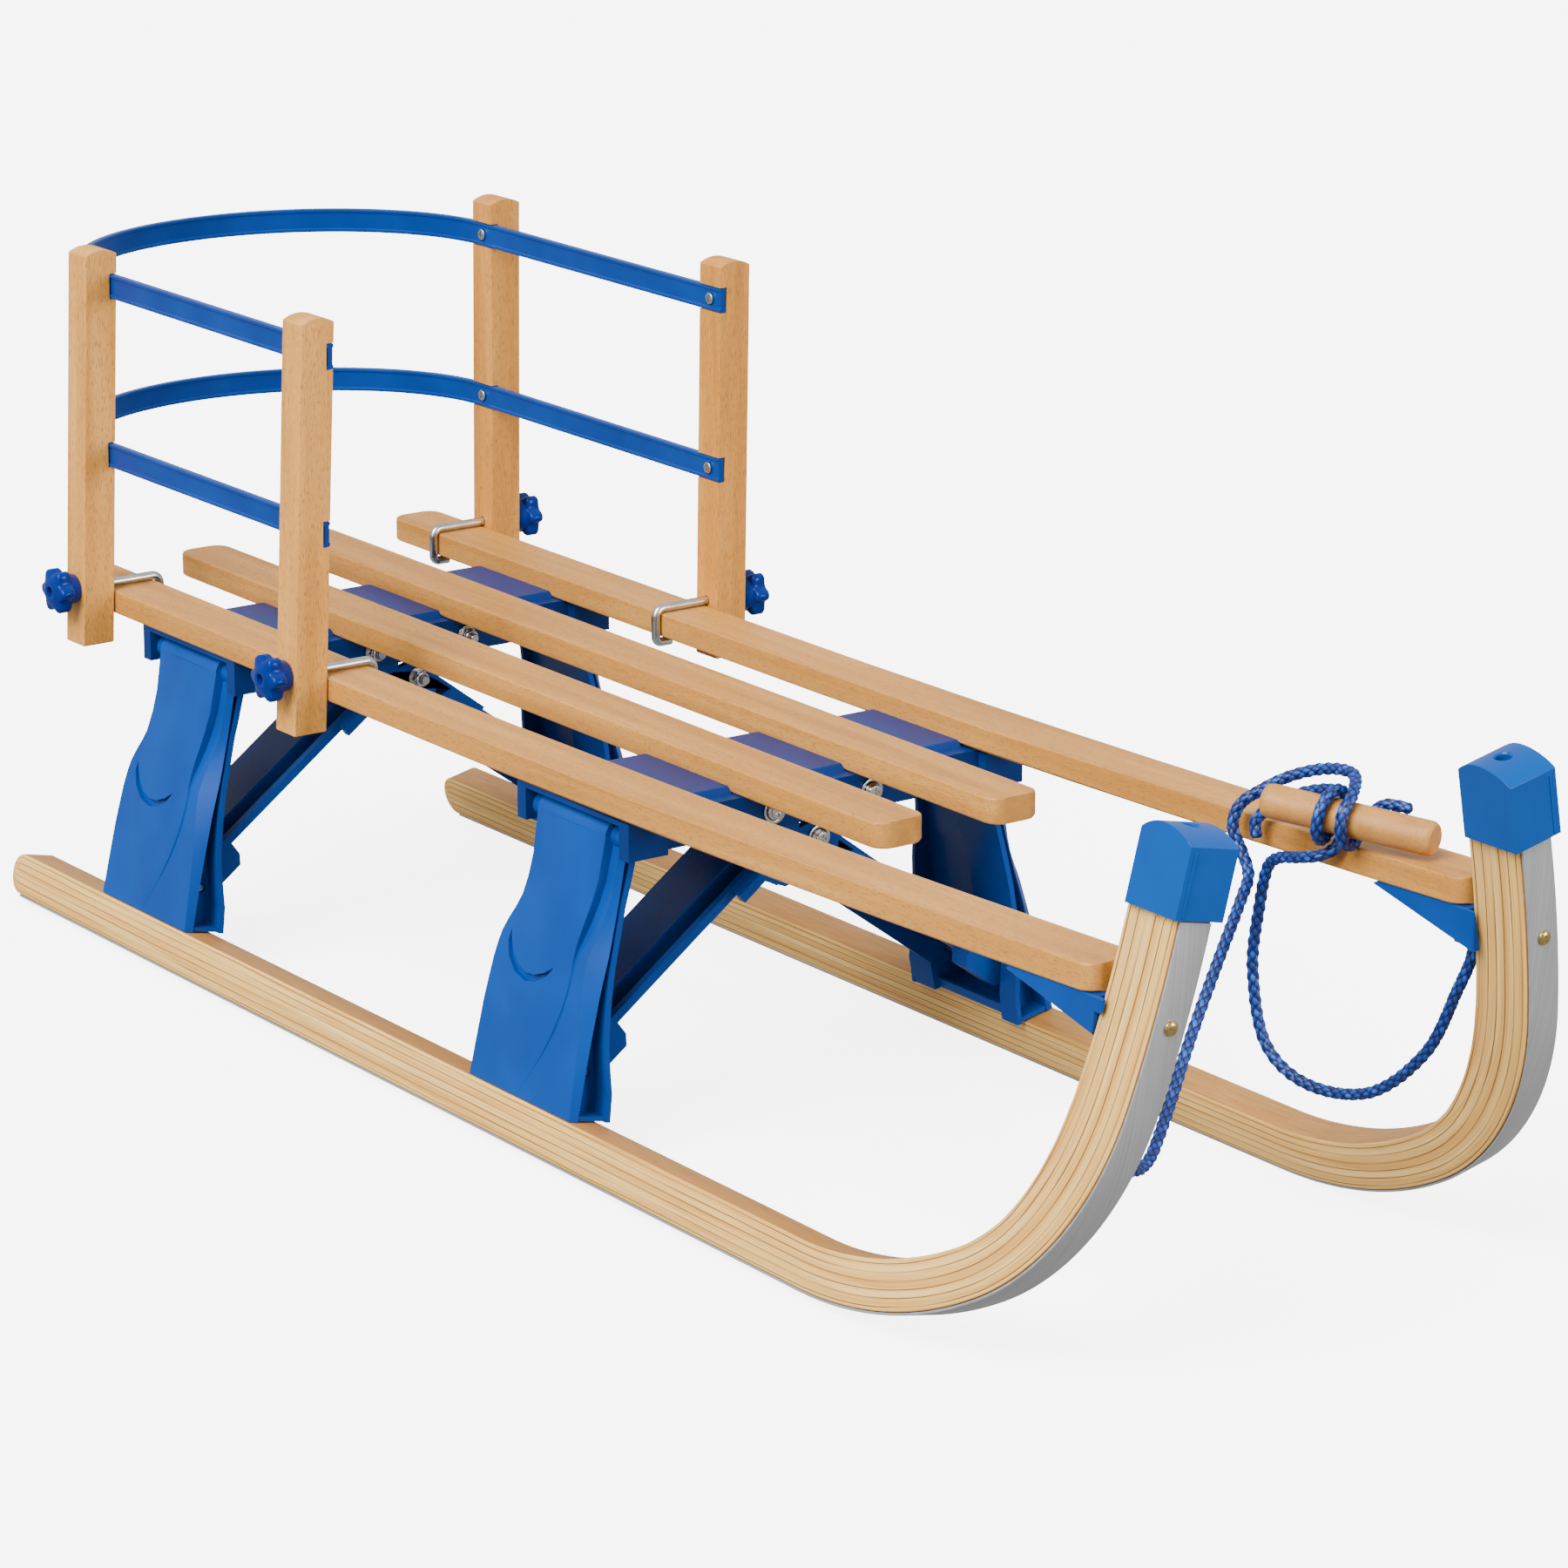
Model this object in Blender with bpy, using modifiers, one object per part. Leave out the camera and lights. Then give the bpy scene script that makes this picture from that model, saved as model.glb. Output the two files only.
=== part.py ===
"""Folding wooden sled with laminated runners, blue plastic stations, a clamp-on
child backrest and a pull rope with a wooden toggle.

Axes: +Z up, nose toward -Y, rider's right at -X. Drawing dimensions are in
millimetres, measured from the middle of the sled; SHIFT_Y centres the box.
"""
import math

import bmesh
import bpy
from mathutils import Matrix, Vector

for item in list(bpy.data.objects):
    bpy.data.objects.remove(item, do_unlink=True)

# General dimensions
MM = 0.001
SHIFT_Y = -17.7
GAP = 0.3
LEFT = 1
RIGHT = -1

# Slats
SLAT_WIDTH = 34.0
SLAT_THICK = 15.0
SLAT_BOTTOM = 199.5
SLAT_TOP = SLAT_BOTTOM + SLAT_THICK
SLAT_REAR = 527.0
SLAT_CORNER = 9.0
OUTER_SLAT_X = 121.5
OUTER_SLAT_FRONT = -505.6
INNER_SLAT_X = 39.0
INNER_SLAT_FRONT = -222.0
RISE_START = 103.0
RISE_SPAN = 613.0
RISE = 12.0

# Side frames lean inward at the top
CANT = math.radians(12.19)
SOLE_X = 166.1
STRIP_THICK = 1.5
STRIP_HALF = 10.0
SOLE_Z = STRIP_HALF * math.sin(CANT)
RUNNER_HALF = 11.0
RUNNER_REAR = 542.5
RUNNER_HIGH = 27.5
WOOD_FROM = STRIP_THICK + GAP
FLAT_END = -314.0

# Stations
FRONT_STATION = 0.0
REAR_STATION = 422.0
HINGE_X = 125.0
HINGE_Z = 185.5
HINGE_O = -1.5
HINGE_H = 187.8
BARREL = 10.5
FOOT_PIVOT_X = 150.5
FOOT_PIVOT_Z = 53.0
BOLT_X = 33.6
BOLT_Z = 188.0
CROSS_Z = 165.5
DECK_TOP = SLAT_BOTTOM - GAP
DECK_THICK = 3.0
LAND_TOP = 203.2
BRIDGE_REAR = 8.0
FLANGE_FRONT = -95.3
FLANGE_BACK = -91.3
FLANGE_BOTTOM = 178.0
BRIDGE_OUT = 136.3
BRACE_REAR = -13.0
BRACE_FRONT = -74.5
BRACE_BODY = 158.0

# Backrest
LEAN = math.tan(math.radians(2.8))
LEAN_IN = math.tan(math.radians(1.0))
LEAN_FROM = 302.1
POST_IN = 137.6
POST_SIZE = 22.0
POST_MID = POST_IN + POST_SIZE / 2
POST_LOW = -36.0
POST_TOP = 214.0
REAR_HOOK_Y = 470.0
FRONT_HOOK_Y = 216.5
HOOK_Z = 217.6
HOOK_DIAMETER = 5.5
HOOK_X = 101.3
HOOK_FOOT_Z = 196.4
BOW_LINES = {"lower_bow": 140.05, "upper_bow": 138.2}
BOW_THICK = 4.5
BOW_HIGH = 15.0
BOW_HEIGHTS = {"lower_bow": 77.0, "upper_bow": 183.0}
BOW_DEPTH = 124.0
KNOB_IN = 161.6
KNOB_OUT = 179.2

# Rope and toggle
ROPE_DIAMETER = 7.0
ROPE_EXIT_Z = 188.0
ROPE_EXIT_X = 121.0
ROPE_EXIT_Y = -498.0
TOGGLE_REAR = (79.6, -380.2, 243.2)
TOGGLE_FRONT = (117.2, -472.2, 236.9)
TOGGLE_DIAMETER = 18.8
WRAP_AT = 0.463
WRAP_RADIUS = 13.9

# Base colours
FINISHES = {
    "beech": ((0.62, 0.40, 0.21), 0.45, 0.0),
    "laminated_pine": ((0.78, 0.60, 0.33), 0.45, 0.0),
    "blue_plastic": ((0.01, 0.09, 0.50), 0.35, 0.0),
    "bright_blue_plastic": ((0.0, 0.22, 0.75), 0.35, 0.0),
    "steel": ((0.42, 0.42, 0.43), 0.35, 1.0),
    "zinc_plated_steel": ((0.62, 0.61, 0.58), 0.3, 1.0),
    "yellow_zinc_steel": ((0.70, 0.55, 0.25), 0.3, 1.0),
    "blue_rope": ((0.01, 0.10, 0.55), 0.8, 0.0),
}


SLED = bpy.data.collections.new("wooden_sled")
bpy.context.scene.collection.children.link(SLED)


def finish(ob, kind):
    """Own Principled material, a place in the sled's collection and smooth rounded faces."""
    colour, rough, metal = FINISHES[kind]
    material = bpy.data.materials.new(ob.name + "_" + kind)
    material.use_nodes = True
    shader = material.node_tree.nodes["Principled BSDF"]
    shader.inputs["Base Color"].default_value = (*colour, 1.0)
    shader.inputs["Roughness"].default_value = rough
    shader.inputs["Metallic"].default_value = metal
    ob.data.materials.clear()
    ob.data.materials.append(material)
    for other in list(ob.users_collection):
        other.objects.unlink(ob)
    SLED.objects.link(ob)
    for face in ob.data.polygons:
        face.use_smooth = True
    ob.data.set_sharp_from_angle(angle=math.radians(32))
    return ob


def sled_point(x, y, z):
    """Drawing place in millimetres as a scene place in metres."""
    return Vector((x * MM, (y + SHIFT_Y) * MM, z * MM))


def link(name, mesh):
    ob = bpy.data.objects.new(name, mesh)
    bpy.context.scene.collection.objects.link(ob)
    return ob


def tidy_mesh(mesh, weld=0.000002):
    """Weld the doubles and turn every face outward."""
    work = bmesh.new()
    work.from_mesh(mesh)
    bmesh.ops.dissolve_degenerate(work, edges=work.edges, dist=weld)
    bmesh.ops.remove_doubles(work, verts=work.verts, dist=weld)
    bmesh.ops.recalc_face_normals(work, faces=work.faces)
    work.to_mesh(mesh)
    work.free()


def as_mesh(ob):
    """Evaluated shape of a curve or modified object as a plain mesh object."""
    name = ob.name
    bpy.context.view_layer.update()
    graph = bpy.context.evaluated_depsgraph_get()
    mesh = bpy.data.meshes.new_from_object(ob.evaluated_get(graph))
    place = ob.matrix_world.copy()
    bpy.data.objects.remove(ob, do_unlink=True)
    solid = link(name, mesh)
    solid.matrix_world = place
    tidy_mesh(mesh)
    return solid


def prism(name, outline, start, end, place):
    """Flat outline extruded from start to end; place turns (a, b, depth) into x, y, z."""
    curve = bpy.data.curves.new(name, "CURVE")
    curve.dimensions = "2D"
    curve.fill_mode = "BOTH"
    curve.extrude = abs(end - start) / 2 * MM
    spline = curve.splines.new("POLY")
    spline.points.add(len(outline) - 1)
    for point, (a, b) in zip(spline.points, outline):
        point.co = (a * MM, b * MM, 0.0, 1.0)
    spline.use_cyclic_u = True
    solid = as_mesh(link(name, curve))
    middle = (start + end) / 2
    for vertex in solid.data.vertices:
        a, b, depth = vertex.co / MM
        vertex.co = sled_point(*place(a, b, middle + depth))
    tidy_mesh(solid.data)
    return solid


def along_x(a, b, depth):
    return depth, a, b


def facing(start, axis):
    """Matrix that lays local -Z along an axis from a start point."""
    turn = Vector((0, 0, -1)).rotation_difference(Vector(axis).normalized())
    return Matrix.Translation(sled_point(*start)) @ turn.to_matrix().to_4x4()


def round_rod(name, start, end, diameter, sides=16):
    """Straight round bar between two points."""
    start = Vector(start)
    end = Vector(end)
    work = bmesh.new()
    length = (end - start).length * MM
    bmesh.ops.create_cone(work, cap_ends=True, segments=sides, radius1=diameter / 2 * MM,
                          radius2=diameter / 2 * MM, depth=length,
                          matrix=facing((start + end) / 2, end - start))
    mesh = bpy.data.meshes.new(name)
    work.to_mesh(mesh)
    work.free()
    tidy_mesh(mesh)
    return link(name, mesh)


def turned(name, start, axis, profile, sides=12):
    """Round piece turned about an axis; profile is a list of (distance, diameter)."""
    mesh = bpy.data.meshes.new(name)
    points = [(0.0, 0.0, -profile[0][0] * MM)]
    points += [(diameter / 2 * MM, 0.0, -distance * MM) for distance, diameter in profile]
    points.append((0.0, 0.0, -profile[-1][0] * MM))
    mesh.from_pydata(points, [(i, i + 1) for i in range(len(points) - 1)], [])
    ob = link(name, mesh)
    screw = ob.modifiers.new("turn", "SCREW")
    screw.axis = "Z"
    screw.steps = sides
    screw.render_steps = sides
    screw.use_merge_vertices = True
    screw.merge_threshold = 0.000002
    solid = as_mesh(ob)
    solid.data.transform(facing(start, axis))
    tidy_mesh(solid.data)
    return solid


def round_bar(name, line, diameter, resolution=2):
    """Bent round bar or cord along a line of points."""
    curve = bpy.data.curves.new(name, "CURVE")
    curve.dimensions = "3D"
    curve.bevel_depth = diameter / 2 * MM
    curve.bevel_resolution = resolution
    curve.use_fill_caps = True
    spline = curve.splines.new("POLY")
    spline.points.add(len(line) - 1)
    for point, place in zip(spline.points, line):
        point.co = (*sled_point(*place), 1.0)
    return as_mesh(link(name, curve))


def loft(name, rings):
    """Skin over unlike sections with equal point counts, closed at each end."""
    work = bmesh.new()
    rows = [[work.verts.new(sled_point(*point)) for point in ring] for ring in rings]
    count = len(rings[0])
    for low, high in zip(rows, rows[1:]):
        for i in range(count):
            j = (i + 1) % count
            work.faces.new((low[i], low[j], high[j], high[i]))
    work.faces.new(rows[0])
    work.faces.new(rows[-1])
    mesh = bpy.data.meshes.new(name)
    work.to_mesh(mesh)
    work.free()
    tidy_mesh(mesh)
    return link(name, mesh)


def settle(ob):
    """Fix the modifiers into the mesh."""
    bpy.context.view_layer.update()
    graph = bpy.context.evaluated_depsgraph_get()
    mesh = bpy.data.meshes.new_from_object(ob.evaluated_get(graph))
    old = ob.data
    ob.modifiers.clear()
    ob.data = mesh
    bpy.data.meshes.remove(old)
    return ob


def combine(body, others, operation):
    """Exact boolean with each of the other pieces, which are used up."""
    for other in others:
        modifier = body.modifiers.new("join", "BOOLEAN")
        modifier.operation = operation
        modifier.solver = "EXACT"
        modifier.object = other
        settle(body)
        tidy_mesh(body.data, 0.00002)
        bpy.data.objects.remove(other, do_unlink=True)
    return body


def cut(body, others):
    return combine(body, others, "DIFFERENCE")


def fuse(body, others):
    return combine(body, others, "UNION")


def soften(ob, width, segments=2, angle=40):
    """Rounded edges on everything sharper than the angle."""
    modifier = ob.modifiers.new("edges", "BEVEL")
    modifier.width = width * MM
    modifier.segments = segments
    modifier.limit_method = "ANGLE"
    modifier.angle_limit = math.radians(angle)
    modifier.use_clamp_overlap = True
    return settle(ob)


def value_at(table, key):
    """Straight-line value in a table of (key, value) sorted by key."""
    if key <= table[0][0]:
        return table[0][1]
    for (a, va), (b, vb) in zip(table, table[1:]):
        if key <= b:
            return va + (vb - va) * (key - a) / (b - a)
    return table[-1][1]


def in_frame(side, o, y, h):
    """Point of a canted side frame: o outward, h up the frame."""
    x = SOLE_X - h * math.sin(CANT) + o * math.cos(CANT)
    z = SOLE_Z + h * math.cos(CANT) + o * math.sin(CANT)
    return side * x, y, z


def side_name(side):
    return "left" if side == LEFT else "right"


def station_name(offset):
    return "front" if offset == FRONT_STATION else "rear"


STATIONS = (FRONT_STATION, REAR_STATION)
SIDES = (LEFT, RIGHT)


# Slats: planed beech boards with rounded ends
def slat_rise(y):
    return RISE * max(0.0, (RISE_START - y) / RISE_SPAN) ** 2


def slat_stations(front):
    """Stations along a board with the inset of its rounded plan corners."""
    stations = []
    steps = 4
    pieces = round((SLAT_REAR - front) / 80.0)
    span = SLAT_REAR - front - 2 * SLAT_CORNER
    for i in range(steps + 1):
        turn = math.pi / 2 * i / steps
        stations.append((SLAT_REAR - SLAT_CORNER * (1 - math.cos(turn)), SLAT_CORNER * (1 - math.sin(turn))))
    for i in range(1, pieces):
        stations.append((SLAT_REAR - SLAT_CORNER - span * i / pieces, 0.0))
    for i in range(steps, -1, -1):
        turn = math.pi / 2 * i / steps
        stations.append((front + SLAT_CORNER * (1 - math.cos(turn)), SLAT_CORNER * (1 - math.sin(turn))))
    return stations


def rounded_rectangle(half_a, low, high, edge):
    """Outline of a rectangle with small rounded corners, as (a, b) points."""
    near = 0.3 * edge
    return [(half_a - edge, low), (half_a, low + edge),
            (half_a, high - edge), (half_a - near, high - near), (half_a - edge, high),
            (edge - half_a, high), (near - half_a, high - near), (-half_a, high - edge),
            (-half_a, low + edge), (edge - half_a, low)]


def slat(name, middle, front, rising):
    """Board with rounded plan corners; the outer boards sweep up toward the nose."""
    rings = []
    for y, inset in slat_stations(front):
        lift = slat_rise(y) if rising else 0.0
        section = rounded_rectangle(SLAT_WIDTH / 2 - inset, SLAT_BOTTOM + lift, SLAT_TOP + lift, 1.4)
        rings.append([(middle + a, y, b) for a, b in section])
    return finish(loft(name, rings), "beech")


def build_slats():
    for side in SIDES:
        slat(side_name(side) + "_outer_slat", side * OUTER_SLAT_X, OUTER_SLAT_FRONT, True)
        slat(side_name(side) + "_inner_slat", side * INNER_SLAT_X, INNER_SLAT_FRONT, False)


# Runners: laminated wood bent up into the horn, shod with a steel strip
def sole_line():
    """Sole stations from the rear end to the horn: y, h, slope and the wood's full thickness."""
    line = []
    for y in (531.5, 400.0, 250.0, 100.0, -50.0, -200.0, FLAT_END):
        line.append((y, 0.0, 0.0))
    centre = (FLAT_END, 280.0)
    for i in range(1, 6):
        turn = math.radians(30.0 * i / 5)
        line.append((centre[0] - 280.0 * math.sin(turn), centre[1] - 280.0 * math.cos(turn), turn))
    y, h, turn = line[-1]
    centre = (y + 182.0 * math.sin(turn), h + 182.0 * math.cos(turn))
    for i in range(1, 11):
        turn = math.radians(30.0 + 49.0 * i / 10)
        line.append((centre[0] - 182.0 * math.sin(turn), centre[1] - 182.0 * math.cos(turn), turn))
    y, h, turn = line[-1]
    centre = (y + 652.0 * math.sin(turn), h + 652.0 * math.cos(turn))
    for i in range(1, 5):
        turn = math.radians(79.0 + 8.0 * i / 4)
        line.append((centre[0] - 652.0 * math.sin(turn), centre[1] - 652.0 * math.cos(turn), turn))
    return line


THICKNESS = [(0.0, 27.5), (10.0, 28.6), (20.0, 29.4), (30.0, 29.8), (42.0, 31.6), (53.0, 34.9), (60.0, 37.0),
             (66.0, 38.4), (72.0, 39.6), (79.0, 40.0), (87.0, 39.6)]
CAP_LOW = 260.0
TENON_TOP = 293.0


def from_sole(station, depth):
    """Point at a depth inward from the sole."""
    y, h, turn = station
    return y + depth * math.sin(turn), h + depth * math.cos(turn)


def up_horn(reach):
    """Station on the straight top of the horn, at a height h."""
    y, h, turn = sole_line()[-1]
    return y - (reach - h) / math.tan(turn), reach, turn


def ribbon(name, near, far, start, end, place):
    """Solid between two matching lines, extruded from start to end."""
    rings = []
    for (a, b), (c, d) in zip(near, far):
        rings.append([place(a, b, start), place(c, d, start), place(c, d, end), place(a, b, end)])
    return loft(name, rings)


def rounded_rear(low, high, corner, steps=4):
    """Rear end of the runner as matching points along its sole and its top."""
    sole = []
    top = []
    for i in range(steps + 1):
        turn = math.pi / 2 * i / steps
        y = RUNNER_REAR - corner * (1 - math.cos(turn))
        inset = corner * (1 - math.sin(turn))
        sole.append((y, low + inset))
        top.append((y, high - inset))
    return sole, top


def build_runners():
    line = sole_line()
    sole, top = rounded_rear(WOOD_FROM, RUNNER_HIGH, 11.0)
    for station in line[1:]:
        sole.append(from_sole(station, WOOD_FROM))
        top.append(from_sole(station, value_at(THICKNESS, math.degrees(station[2]))))
    for height, depth in ((CAP_LOW - 3.0, 39.5), (CAP_LOW - 2.6, 36.4), (TENON_TOP, 36.4)):
        sole.append(from_sole(up_horn(height), WOOD_FROM))
        top.append(from_sole(up_horn(height), depth))
    shoe = line + [up_horn(CAP_LOW - 0.9)]
    under = [from_sole(station, 0.0) for station in shoe]
    over = [from_sole(station, STRIP_THICK) for station in shoe]
    for side in SIDES:

        def place(y, h, o):
            return in_frame(side, o, y, h)

        runner = ribbon(side_name(side) + "_runner", sole, top, -RUNNER_HALF, RUNNER_HALF, place)
        soften(runner, 1.2, 1, 50)
        strip = ribbon(side_name(side) + "_runner_strip", under, over, -STRIP_HALF, STRIP_HALF, place)
        station = strip_screw_station()
        outside = in_frame(side, 0.0, *from_sole(station, -2.0))
        inside = in_frame(side, 0.0, *from_sole(station, 16.0))
        cut(runner, [round_rod("hole", outside, inside, 4.2, 12)])
        cut(strip, [round_rod("hole", outside, inside, 4.2, 12)])
        finish(runner, "laminated_pine")
        finish(strip, "steel")
        start = in_frame(side, 0.0, *from_sole(station, -2.3))
        screw = turned(side_name(side) + "_strip_screw", start, Vector(inside) - Vector(outside),
                       [(0.0, 4.0), (0.5, 6.6), (1.2, 7.9), (2.0, 8.2), (2.01, 3.6), (13.0, 3.6), (15.0, 1.0)])
        finish(screw, "yellow_zinc_steel")


def strip_screw_station():
    """Place of the screw that holds the strip to the horn."""
    y, h, turn = sole_line()[-3]
    return y, h, turn


CAP_HOLE = 19.5


# Horn caps: thick plastic hoods pushed over the horn tops
def build_caps():
    for side in SIDES:
        base = up_horn(CAP_LOW)

        def cap_point(depth, rise, o):
            y, h, turn = base
            y = y + depth * math.sin(turn) - rise * math.cos(turn)
            h = h + rise
            return in_frame(side, o, y, h)

        outline = [(-1.6, 0.0), (-1.6, 37.0)]
        for i in range(1, 12):
            part = i / 12
            outline.append((-1.6 + 43.2 * part, 37.0 + 6.4 * math.sin(math.pi * part) ** 0.8 + 1.6 * part))
        outline += [(41.6, 38.6), (41.6, 0.0)]
        cap = prism(side_name(side) + "_horn_cap", outline, -15.5, 15.5, cap_point)
        soften(cap, 1.1, 1, 35)
        bead = prism("bead", [(-2.1, 1.5), (-2.1, 34.0), (0.0, 34.6), (0.0, 1.5)], 10.6, 12.2, cap_point)
        fuse(cap, [bead])
        pocket = prism("pocket", [(WOOD_FROM - 0.5, -2.0), (WOOD_FROM - 0.5, TENON_TOP - CAP_LOW + 2.4),
                                  (36.9, TENON_TOP - CAP_LOW + 2.4), (36.9, -2.0)], -11.35, 11.35, cap_point)
        hole = turned("hole", cap_point(CAP_HOLE, 50.0, 0.0),
                      Vector(cap_point(CAP_HOLE, 30.0, 0.0)) - Vector(cap_point(CAP_HOLE, 50.0, 0.0)),
                      [(0.0, 12.5), (4.6, 12.5), (7.0, 8.4), (13.0, 8.4), (13.1, 5.0), (22.0, 5.0)], 20)
        cut(cap, [pocket, hole])
        finish(cap, "bright_blue_plastic")


# Horn brackets: gussets that tie the outer slats to the horns
def horn_back(h):
    """Back face of the horn at a height up the frame."""
    table = []
    for station in sole_line():
        y, height = from_sole(station, value_at(THICKNESS, math.degrees(station[2])))
        if height > 60.0:
            table.append((height, y))
    return value_at(sorted(table), h)


def build_brackets():
    for side in SIDES:
        back = horn_back(204.0)
        top = []
        for i in range(7):
            y = -440.0 + (back + 3.0 + 440.0) * i / 6
            top.append((y, SLAT_BOTTOM + slat_rise(y) - GAP))
        low = 189.5
        outline = [(-436.0, top[0][1] - 2.2)] + top + [(back - 6.0, top[-1][1]), (back - 6.0, low - 1.0)]
        body = prism(side_name(side) + "_horn_bracket", outline, side * 106.0, side * 137.0, along_x)
        soften(body, 0.8, 1, 35)
        pocket = [(-448.0, top[1][1] - 6.0), (-454.0, top[2][1] - 4.0), (back + 4.0, top[5][1] - 4.5),
                  (back + 4.0, low - 5.0), (back + 20.0, low - 5.0)]
        cavity = prism("pocket", pocket, side * 109.5, side * 133.5, along_x)
        cut(body, [cavity])
        eyelet = prism("eyelet", [(back + 15.6, ROPE_EXIT_Z), (back + 15.6, 199.0), (back - 4.0, 201.0),
                                  (back - 4.0, ROPE_EXIT_Z)], side * 113.0, side * 129.0, along_x)
        fuse(body, [eyelet])
        cut(body, [horn_cutter(side)])
        finish(body, "blue_plastic")


def horn_cutter(side):
    """The horn's back with a small gap, as a cutter for the brackets."""
    rings = []
    for station in sole_line()[-9:]:
        high = value_at(THICKNESS, math.degrees(station[2]))
        ring = []
        for o, depth in ((14.0, 5.0), (14.0, high + GAP), (-14.0, high + GAP), (-14.0, 5.0)):
            y, h = from_sole(station, depth)
            ring.append(in_frame(side, o, y, h))
        rings.append(ring)
    return loft("horn", rings)


# Legs: hollow moulded legs, hinged to the bridge at the top, screwed to the runner
LEG_REAR = [(28.0, 10.0), (33.0, 10.0), (72.0, 8.8), (94.0, 6.8), (106.0, 4.9), (117.0, 2.0), (126.0, -2.5),
            (134.0, -6.3), (146.0, -9.6), (158.0, -10.6), (180.0, -8.6), (198.3, -8.0)]
LEG_FRONT = [(28.0, -92.4), (70.0, -91.0), (120.0, -89.6), (150.0, -88.4), (198.3, -87.2)]
TONGUE_REAR = [(28.0, -36.0), (38.0, -33.0), (50.0, -22.0), (66.0, -12.5), (84.0, -7.5), (100.0, -5.6),
               (119.0, -6.6), (134.0, -9.6), (150.0, -12.6), (158.0, -13.4), (180.0, -11.4), (198.3, -11.0)]
TONGUE_FRONT = [(28.0, -38.0), (38.0, -44.0), (52.0, -53.0), (70.0, -62.0), (88.0, -68.0), (104.0, -70.5),
                (118.0, -69.5), (130.0, -71.5), (141.0, -74.0), (154.0, -77.0), (168.0, -79.0), (198.3, -78.5)]
CREASE = [(28.0, -91.0), (62.0, -88.0), (92.0, -83.5), (112.0, -80.8), (124.0, -80.6), (134.0, -82.6),
          (146.0, -85.2), (160.0, -85.8), (198.3, -85.4)]
FLANK = [(28.0, 9.8), (60.0, 9.7), (92.0, 9.6), (108.0, 9.4), (116.0, 8.6), (124.0, 6.9), (132.0, 5.2),
         (142.0, 3.9), (156.0, 3.2), (198.3, 3.0)]
TONGUE_FACE = [(28.0, 9.8), (40.0, 9.9), (70.0, 10.4), (100.0, 10.3), (118.0, 9.8), (140.0, 8.7), (160.0, 8.2),
               (180.0, 8.6), (198.3, 9.0)]
REAR_FACE = [(28.0, 9.8), (60.0, 9.7), (100.0, 9.5), (116.0, 8.9), (128.0, 7.4), (140.0, 6.2), (156.0, 5.8),
             (198.3, 6.0)]
LIP = [(28.0, 4.6), (60.0, 4.2), (100.0, 2.6), (124.0, 0.4), (150.0, -0.6), (198.3, -0.6)]
INNER = [(28.0, -17.4), (36.0, -17.2), (47.0, -15.4), (58.0, -12.2), (70.0, -9.2), (80.0, -7.6), (100.0, -5.6),
         (116.0, -5.0), (148.0, -5.6), (178.0, -8.0), (198.3, -8.2)]
WEB = [(28.0, -78.0), (72.0, -78.0), (76.0, -77.0), (84.0, -58.0), (90.0, -55.0), (150.0, -51.0), (198.3, -50.0)]
REAR_WALL = 3.0
SKIN = 3.6


def leg_ring(side, offset, h):
    """Section of the leg at one height: skin, rear flange, middle web and front channel."""
    rear = value_at(LEG_REAR, h)
    front = value_at(LEG_FRONT, h)
    tongue_rear = value_at(TONGUE_REAR, h)
    tongue_front = value_at(TONGUE_FRONT, h)
    crease = value_at(CREASE, h)
    flank = value_at(FLANK, h)
    tongue = value_at(TONGUE_FACE, h)
    rear_face = value_at(REAR_FACE, h)
    lip = value_at(LIP, h)
    inner = value_at(INNER, h)
    web = value_at(WEB, h)
    skin = min(flank, rear_face) - SKIN
    wall = 3.4
    section = [(rear_face, rear), (rear_face, tongue_rear + 0.5), (tongue, tongue_rear)]
    for part in (0.33, 0.67):
        belly = 1.0 * math.sin(math.pi * part) * (0.3 + 0.7 * min(1.0, max(0.0, (h - 60.0) / 60.0)))
        section.append((tongue + belly, tongue_rear + (tongue_front - tongue_rear) * part))
    section += [(tongue, tongue_front), (flank, tongue_front - 0.5), (flank, crease), (lip, front)]
    back = web - 2.4 if web > -70.0 else web - 1.2
    section += [(min(lip, skin) - 0.2, back), (inner + wall, back), (inner + wall, front), (inner, front)]
    section += [(inner, web + 0.8), (skin, web + 0.8), (skin, rear - REAR_WALL), (inner, rear - REAR_WALL),
                (inner, rear)]
    return [in_frame(side, o, y + offset, h) for o, y in section]


def leg_prism(name, side, offset, outline, y0, y1):
    """Outline in (o, h) run along the sled between two places."""
    def place(o, h, y):
        return in_frame(side, o, y + offset, h)
    return prism(name, outline, y0, y1, place)


def circle(o, h, radius, steps=16):
    return [(o + radius * math.cos(2 * math.pi * i / steps), h + radius * math.sin(2 * math.pi * i / steps))
            for i in range(steps)]


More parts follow.
